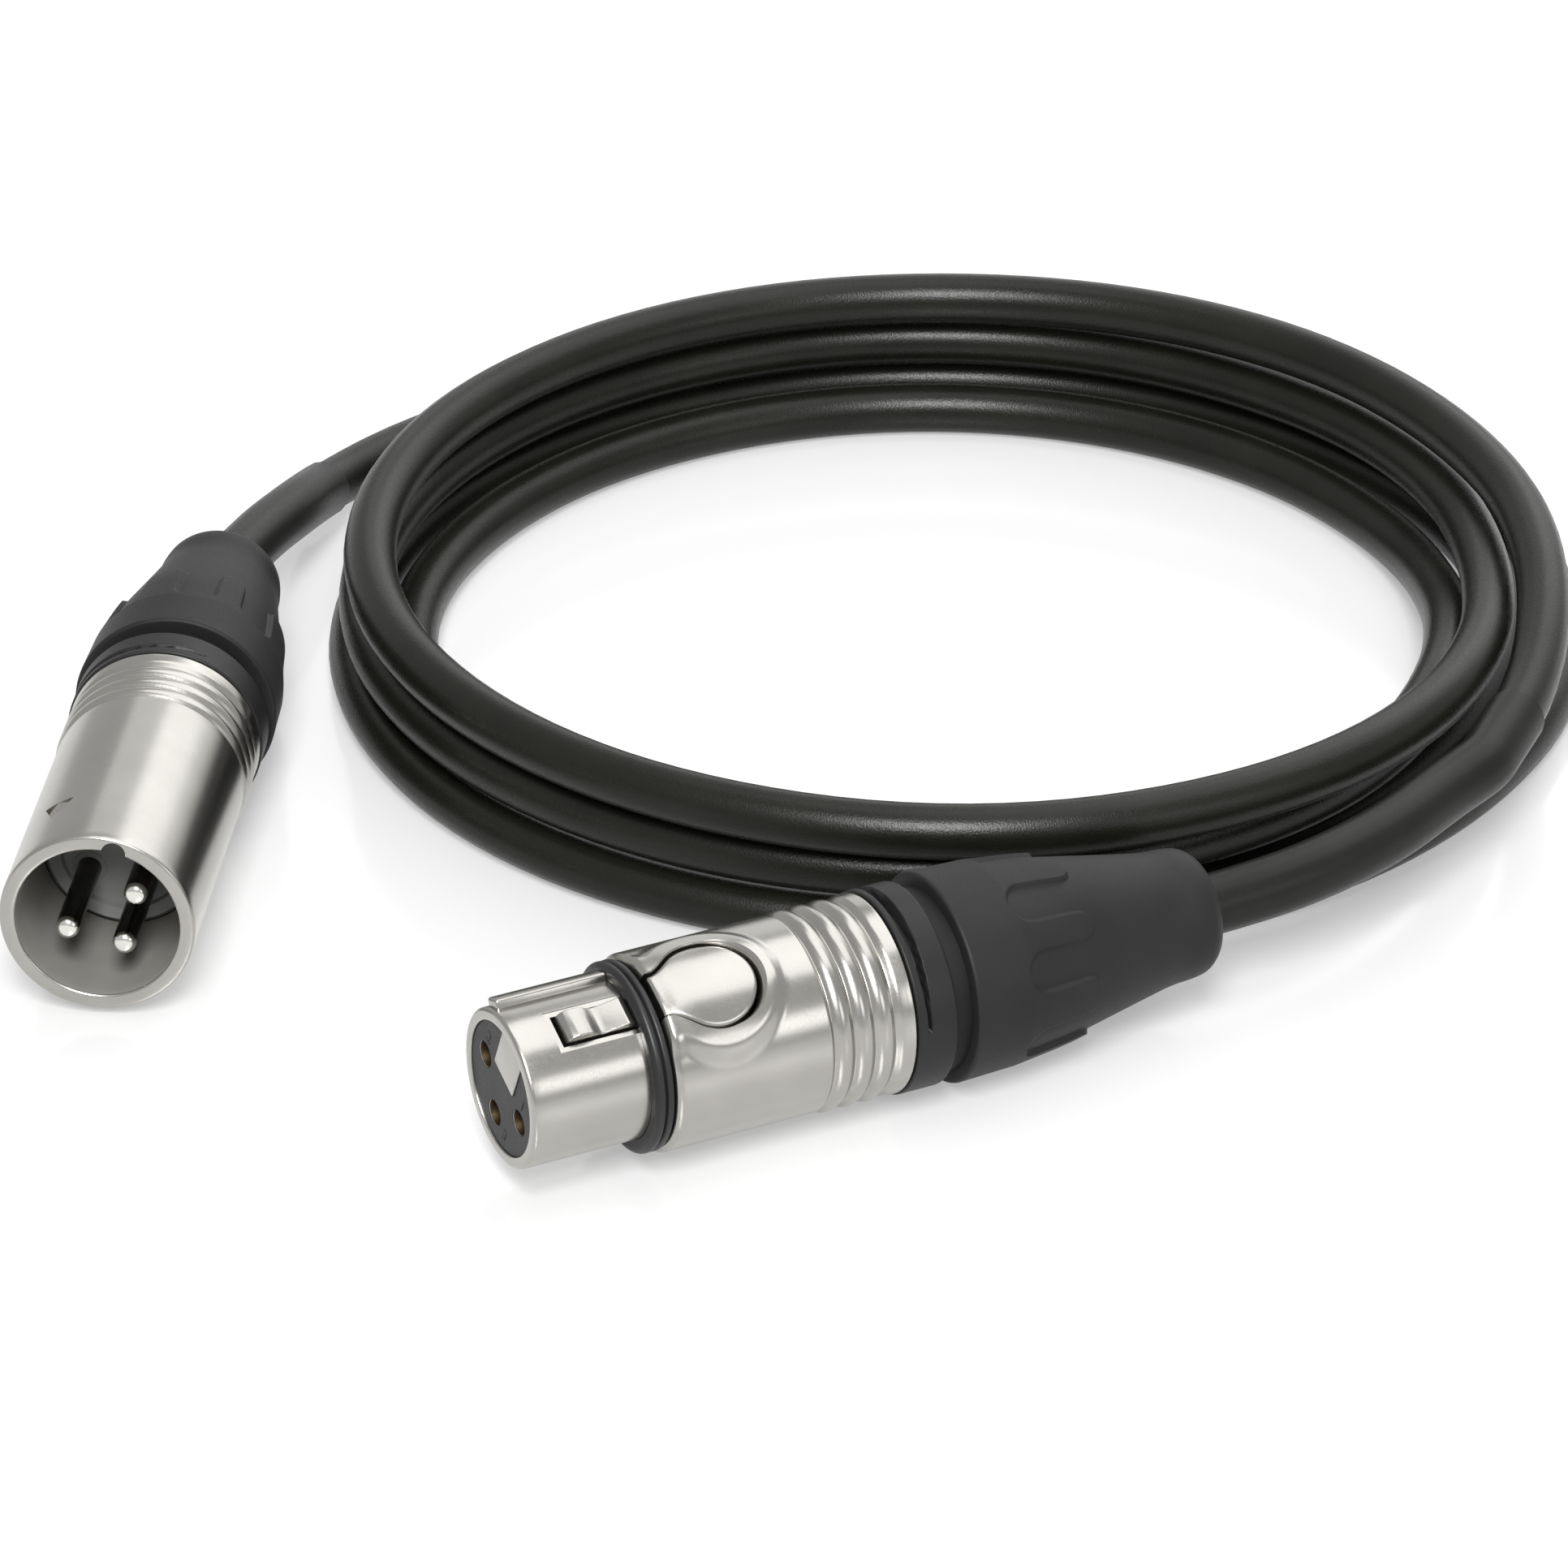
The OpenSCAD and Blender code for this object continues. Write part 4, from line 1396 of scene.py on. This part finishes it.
        bm = bmesh.new()
        profile(bm, [
            Corner(self.bore, 0.0, 0.15), Corner(self.nose_reach, 0.0, 0.4),
            Corner(self.nose_reach, self.flange), Corner(self.reach, self.flange, 0.7),
            *Ribs().corners(self.reach, self.length), Corner(self.tail_bore, self.length),
            Corner(self.tail_bore, self.bore_end), Corner(self.bore, self.bore_end),
        ])
        refine(bm, longest)
        wide = 2 * self.fine_half
        near, far = self.shell_steps
        turn_wire(bm, [Sector(wide, near), Sector(FULL_TURN - wide, far)], -self.fine_half)
        relieve(bm, height)
        opening = self.window(self.window_foot, self.window_depth)
        edge = self.window(self.nose_reach - self.window_step, 2 * self.window_step, self.window_wider)
        bm = carve(bm, [self.recess(), opening, edge])
        add_mesh(bm, self.tongue())
        add_mesh(bm, self.key())
        return finish_piece("socket_shell", bm, self.axis.matrix(), NICKEL, ["female_shell"])

    def tongue(self) -> bmesh.types.BMesh:
        """Makes the tongue behind the nose's face, which carries the latch."""
        half = self.tongue_half
        return soften(prism([(x, -half, t) for x, t in self.tongue_side], (0, 2 * half, 0)), self.edge_round)

    def key(self) -> bmesh.types.BMesh:
        """Makes the key rib along the nose.

        Returns:
            The rib.
        """
        half = self.key_half
        low, high = self.key_reach
        start, end = self.key_along
        outline = [(low, -half, start), (high, -half, start), (high, -half, end), (low, -half, end)]
        bm = soften(prism(outline, (0, 2 * half, 0)), self.key_round, self.key_steps)
        return turn_about(bm, self.key_angle)

    def lever(self) -> bpy.types.Object:
        """Makes the latch lever: its paddle, arm and hook.

        Returns:
            The lever.
        """
        count = self.paddle_rings
        rings = [*self.paddle_edge, *(Ring(share / count, 0) for share in range(count - 2, 0, -1))]

        def top(side: float, along: float) -> float:
            """Gives the reach of the paddle's dished top."""
            return blended(self.paddle_top, along, self.paddle_blend)

        bm = swept_plug(
            len(rings), self.outline_points,
            lambda angle, level: self.outline_point(angle, rings[level], self.neck_start, top),
        )
        low, high = self.hook_sides
        arm = prism([(x, low, t) for x, t in self.lever_side], (0, high - low, 0))
        add_mesh(bm, soften(arm, self.edge_round))
        return finish_piece("latch_lever_plated", bm, self.axis.matrix(), NICKEL, ["latch_lever"], Body.LATCH)

    def rubber(self) -> bpy.types.Object:
        """Makes the double-ridged rubber ring at the nose's root."""
        bm = turned(self.ring_profile, self.ring_edges, self.ring_steps)
        return finish_piece("nose_rubber_ring", bm, self.axis.matrix(), NITRILE, ["nose_ring"])

    def contact(self, number: int) -> bpy.types.Object:
        """Turns a socket contact: its bright silver mouth shows in the insert's hole, and the dark brass
        further in is partly painted shade of the hole.

        Args:
            number: The contact's number.

        Returns:
            The contact.
        """
        turn = math.radians(self.contact_turns[number - 1])
        spot = Matrix.Translation((self.contact_ring * math.cos(turn), self.contact_ring * math.sin(turn), 0))
        bm = turned(self.contact_profile, self.contact_edges, self.contact_steps, closed=False)
        # The mouth is bright silver and the rest dark brass: the dark inside is partly painted shade of the
        # hole.
        return finish_piece(
            f"socket_contact_{number}", bm, self.axis.matrix() @ spot, BRASS_PAINTED_SHADE, [f"female_contact_{number}"],
            second=Second(SILVER, lambda middle: middle.z < self.mouth_end),
        )

    def digit(self, number: int) -> bpy.types.Object:
        """Raises a contact's number on the insert's face.

        Args:
            number: The contact's number.

        Returns:
            The number's mesh.
        """
        up, across = self.digit_spots[number - 1]
        name = f"insert_number_{number}"
        curve = bpy.data.curves.new(name, "FONT")
        curve.body = str(number)
        curve.size = self.digit_size
        curve.extrude = self.digit_rise
        curve.align_x, curve.align_y = "CENTER", "CENTER"
        bm = mesh_of(shown(name + "_line", curve))
        bmesh.ops.remove_doubles(bm, verts=bm.verts, dist=MERGE)
        stand = Matrix(((0, 1, 0, up), (1, 0, 0, across), (0, 0, -1, self.insert_face), (0, 0, 0, 1)))
        return finish_piece(name, bm, self.axis.matrix() @ stand, NYLON, [])

    def spring(self) -> bpy.types.Object:
        """Winds the latch spring at rest, with half a flat turn at each end; the real spring shortens as the
        paddle goes down, this one does not.

        Returns:
            The spring.
        """
        place = self.axis.matrix()
        low, high = self.spring_ends
        turns = self.spring_turns + 1
        points = []
        for k in range(turns * self.spring_steps + 1):
            turn = k / self.spring_steps
            rise = min(max(turn - 0.5, 0.0), self.spring_turns) / self.spring_turns
            across = self.spring_reach * math.cos(math.tau * turn)
            along = self.spring_along + self.spring_reach * math.sin(math.tau * turn)
            points.append(place @ Vector((low + (high - low) * rise, across, along)) / MM)
        bm = weld(mesh_of(tube("latch_spring_line", points, self.spring_wire, True)), MERGE * MM)
        piece = finish_piece("latch_spring_wire", bm, Matrix.Identity(4), STEEL, ["latch_spring"])
        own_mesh(piece)
        return piece

    def dress(self) -> None:
        """Dresses the insert and the pin."""
        dress_node("female_insert", NYLON)
        dress_node("latch_pin", STEEL)


@dataclass
class Plug:
    """The plug's shell with keyway and catch, and its three pins with their bosses."""

    axis: Placement
    length: float = 37.7
    reach: float = 9.65
    bore: float = 8.1
    tail_bore: float = 8.35
    bore_end: float = 21.15
    depth: float = 14.5
    keyway_reach: float = 1.2
    keyway_angle: float = 45.0
    catch_start: float = 5.33
    catch_end: float = 8.82
    catch_half: float = 1.66
    catch_tip: float = 9.6
    catch_floor: float = 8.95
    pin_reach: float = 1.18
    pin_root: float = 1.68
    pin_start: float = 1.9
    pin_step: float = 14.8
    tip_length: float = 1.1
    pin_end: float = 24.0
    pin_steps: int = 64
    pin_edges: tuple[float, float] = (0.5, 2.0)
    pin_fine: float = 3.0
    boss_room: float = 0.01
    boss_wall: float = 0.05
    boss_half: float = 0.1
    boss_edges: float = 1.0
    keyway_steps: int = 48
    keyway_past: float = 1.0
    catch_depth: float = 2.0
    rim: float = 0.25
    shell_steps: int = 192
    shell_edges: tuple[float, float] = (0.5, 1.0)
    rib_reach: float = 9.0
    rib_along: float = 28.0

    def keyway(self) -> bmesh.types.BMesh:
        """Makes the cutter of the half-round keyway.

        Returns:
            The cutter.
        """
        bm = bmesh.new()
        bmesh.ops.create_cone(
            bm, cap_ends=True, segments=self.keyway_steps, radius1=self.keyway_reach,
            radius2=self.keyway_reach, depth=self.depth + self.keyway_past,
        )
        middle = (self.depth - self.keyway_past) / 2
        bmesh.ops.translate(bm, verts=bm.verts, vec=(self.bore, 0, middle))
        return turn_about(bm, self.keyway_angle)

    def catch(self) -> bmesh.types.BMesh:
        """Makes the cutter of the triangular catch.

        Returns:
            The cutter.
        """
        half, high, floor = self.catch_half, self.catch_end, self.catch_floor
        outline = [(self.catch_tip, 0, self.catch_start), (floor, half, high), (floor, -half, high)]
        return prism(outline, (self.catch_depth, 0, 0))

    def shell(self) -> bpy.types.Object:
        """Makes the shell.

        Returns:
            The shell.
        """
        bm = bmesh.new()
        profile(bm, [
            Corner(self.bore, 0.0, 0.3), Corner(self.reach, 0.0, 0.35),
            *Ribs().corners(self.reach, self.length), Corner(self.tail_bore, self.length),
            Corner(self.tail_bore, self.bore_end), Corner(self.bore, self.bore_end),
        ])
        fine, coarse = self.shell_edges
        refine(bm, lambda r, t: fine if r > self.rib_reach and t > self.rib_along else coarse)
        turn_wire(bm, [Sector(FULL_TURN, self.shell_steps)])
        bm = carve(bm, [self.keyway(), self.catch()])

        def dull(middle: Vector) -> bool:
            """Tells whether a face lies in the bore, where the nickel is painted darker as shade."""
            return self.rim < middle.z < self.depth and middle.xy.length < self.bore + self.keyway_reach

        # Faces in the bore get the darker, duller nickel: painted shade of the bore.
        return finish_piece(
            "plug_shell", bm, self.axis.matrix(), NICKEL, ["male_shell"], second=Second(NICKEL_BORE_PAINTED_SHADE, dull)
        )

    def pin_place(self, number: int) -> Matrix:
        """Gives the matrix of a pin's own axis.

        Args:
            number: The pin's number.

        Returns:
            The matrix to the row frame.
        """
        low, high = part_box(f"male_pin_{number}")
        middle = [(a + b) / 2 / MM for a, b in zip(low, high)]
        return Placement((middle[0], self.axis.face[1], middle[2]), self.axis.yaw).matrix()

    def pin(self, number: int) -> bpy.types.Object:
        """Turns a pin with a rounded tip and a thicker root.

        Args:
            number: The pin's number.

        Returns:
            The pin.
        """
        bm = bmesh.new()
        profile(bm, [
            Corner(0, self.pin_start), Corner(self.pin_reach, self.pin_start, 0.8),
            Corner(self.pin_reach, self.pin_step), Corner(self.pin_root, self.pin_step, 0.1),
            Corner(self.pin_root, self.pin_end), Corner(0, self.pin_end),
        ], closed=False)
        fine, coarse = self.pin_edges
        refine(bm, lambda reach, along: fine if along < self.pin_fine else coarse)
        turn_wire(bm, [Sector(FULL_TURN, self.pin_steps)])
        # The tips stay bright silver; the shafts get the silver painted dark, a painted reflection of the
        # dark bore.
        return finish_piece(
            f"plug_pin_{number}", bm, self.pin_place(number), SILVER, [f"male_pin_{number}"],
            second=Second(SILVER_SHAFT_PAINTED_REFLECTION, lambda middle: middle.z > self.pin_start + self.tip_length),
        )

    def boss(self, number: int) -> bpy.types.Object:
        """Makes the moulded boss around a pin's root.

        Args:
            number: The pin's number.

        Returns:
            The boss.
        """
        inner, outer = self.pin_reach + self.boss_room, self.pin_root + self.boss_wall
        face, foot = self.depth - self.boss_half, self.depth + self.boss_half
        bm = turned(
            [Corner(inner, face), Corner(outer, face, 0.06), Corner(outer, foot), Corner(inner, foot)],
            self.boss_edges, self.pin_steps,
        )
        return finish_piece(f"plug_pin_boss_{number}", bm, self.pin_place(number), NYLON_GREY, [])

    def build(self) -> list[bpy.types.Object]:
        """Makes the shell, the pins and their bosses, and dresses the insert.

        Returns:
            The pieces.
        """
        pins = [make(number) for number in (1, 2, 3) for make in (self.pin, self.boss)]
        return [self.shell(), *pins, dress_node("male_insert", NYLON_GREY)]


# Studio


@dataclass(frozen=True)
class SoftBox:
    """A soft box: its name, its place and size in metres, and its power in watts."""

    name: str
    spot: tuple[float, float, float]
    size: tuple[float, float]
    watts: float


@dataclass
class Studio:
    """Camera, floor and soft lights."""

    eye: tuple[float, float, float] = (72.52, -591.68, 346.9)
    heading: tuple[float, float] = (-0.09654, 0.99533)
    dip: float = 28.97
    focal_pixels: float = 8500.0
    image_pixels: float = 1932.0
    sensor: float = 36.0
    clip: float = 0.01
    floor_half: float = 4.0
    floor_colour: str = "#9e9e9e"
    floor_roughness: float = 0.16
    floor_specular: float = 0.5
    floor_glow: float = 0.38
    air_glow: float = 0.6
    white: str = "#ffffff"
    target: tuple[float, float, float] = (0.02, 0.03, 0.0)
    boxes: tuple[SoftBox, ...] = (
        SoftBox("key_strip", (0.067, -0.76, 0.86), (0.34, 0.55), 21.0),
        SoftBox("top_box", (0.35, 0.45, 1.2), (1.2, 1.4), 9.0),
        SoftBox("rear_box", (0.42, 1.2, 0.62), (0.7, 0.5), 1.0),
        SoftBox("rear_wall", (0.32, 1.35, 0.58), (1.6, 0.8), 2.5),
        SoftBox("right_box", (0.95, -0.62, 0.42), (0.5, 0.36), 1.2),
    )

    def look(self, thing: bpy.types.Object, spot: Vector, way: Vector) -> None:
        """Stands a camera or light at a spot and turns it.

        Args:
            thing: The object.
            spot: Its place in metres.
            way: The way that it looks.
        """
        thing.location = spot
        thing.rotation_mode = "QUATERNION"
        thing.rotation_quaternion = way.to_track_quat("-Z", "Y")

    def camera(self) -> None:
        """Sets the camera at the photograph's viewing angle."""
        data = bpy.data.cameras.new("camera")
        data.sensor_width = self.sensor
        data.lens = self.focal_pixels / self.image_pixels * self.sensor
        data.clip_start = self.clip
        eye = shown("camera", data)
        dip = math.radians(self.dip)
        way = Vector((self.heading[0] * math.cos(dip), self.heading[1] * math.cos(dip), -math.sin(dip)))
        self.look(eye, Vector(self.eye) * MM, way)
        bpy.context.scene.camera = eye

    def floor(self) -> None:
        """Lays a pale acrylic floor that is lit from below, so that shadows stay light."""
        bm = bmesh.new()
        bmesh.ops.create_grid(bm, x_segments=2, y_segments=2, size=self.floor_half)
        mesh = bpy.data.meshes.new("floor")
        bm.to_mesh(mesh)
        bm.free()
        made = bpy.data.materials.new("lit_acrylic_floor")
        made.use_nodes = True
        shader = made.node_tree.nodes["Principled BSDF"]
        shader.inputs["Base Color"].default_value = linear(self.floor_colour)
        shader.inputs["Roughness"].default_value = self.floor_roughness
        shader.inputs["Specular IOR Level"].default_value = self.floor_specular
        shader.inputs["Emission Color"].default_value = linear(self.white)
        shader.inputs["Emission Strength"].default_value = self.floor_glow
        mesh.materials.append(made)
        floor = shown("floor", mesh)

    def light(self, box: SoftBox) -> None:
        """Hangs a soft box that faces the object.

        Args:
            box: The soft box.
        """
        data = bpy.data.lights.new(box.name, "AREA")
        data.shape = "RECTANGLE"
        data.size, data.size_y = box.size
        data.energy = box.watts
        spot = Vector(box.spot)
        self.look(shown(box.name, data), spot, Vector(self.target) - spot)

    def lights(self) -> None:
        """Lights the floor to white and draws long soft highlights on the tubes."""
        world = bpy.data.worlds.new("studio_air")
        world.use_nodes = True
        air = world.node_tree.nodes["Background"]
        air.inputs["Color"].default_value = linear(self.white)
        air.inputs["Strength"].default_value = self.air_glow
        bpy.context.scene.world = world
        for box in self.boxes:
            self.light(box)
        bpy.context.scene.view_settings.view_transform = "Standard"


def main() -> None:
    """Builds the studio, the cable and both connectors."""
    logging.basicConfig(level=logging.INFO, format="%(message)s")
    socket_axis = Placement((-6.9, -47.8, 10.45), yaw=32.3)
    plug_axis = Placement((-49.9, -21.1, 10.45), yaw=90.0)
    socket = Socket(Placement(socket_axis.face, socket_axis.yaw, roll=26.0))
    plug = Plug(Placement(plug_axis.face, plug_axis.yaw, roll=-31.0))
    studio = Studio()
    studio.camera()
    cable = Cable(socket_axis, plug_axis, socket.length, plug.length)
    jacket = cable.build()
    sleeves = cable.sleeves()
    socket_tail = Tail(
        "socket", "female", socket_axis, socket.length, slit=(-70.0, 86.0), wave_pair=(28.0, 69.2)
    )
    plug_tail = Tail("plug", "male", plug_axis, plug.length, slit=(-130.0, 25.0), wave_pair=(7.0, 48.2))
    socket_tail.boot()
    socket_tail.collar()
    socket_tail.dress()
    plug_pieces = [plug_tail.boot(), plug_tail.collar(), *plug_tail.dress()]
    socket.shell()
    for number in (1, 2, 3):
        socket.contact(number)
        socket.digit(number)
    socket.lever()
    socket.rubber()
    socket.spring()
    socket.dress()
    plug_pieces += plug.build()
    cable.declare()
    studio.floor()
    studio.lights()


if __name__ == "__main__":
    main()
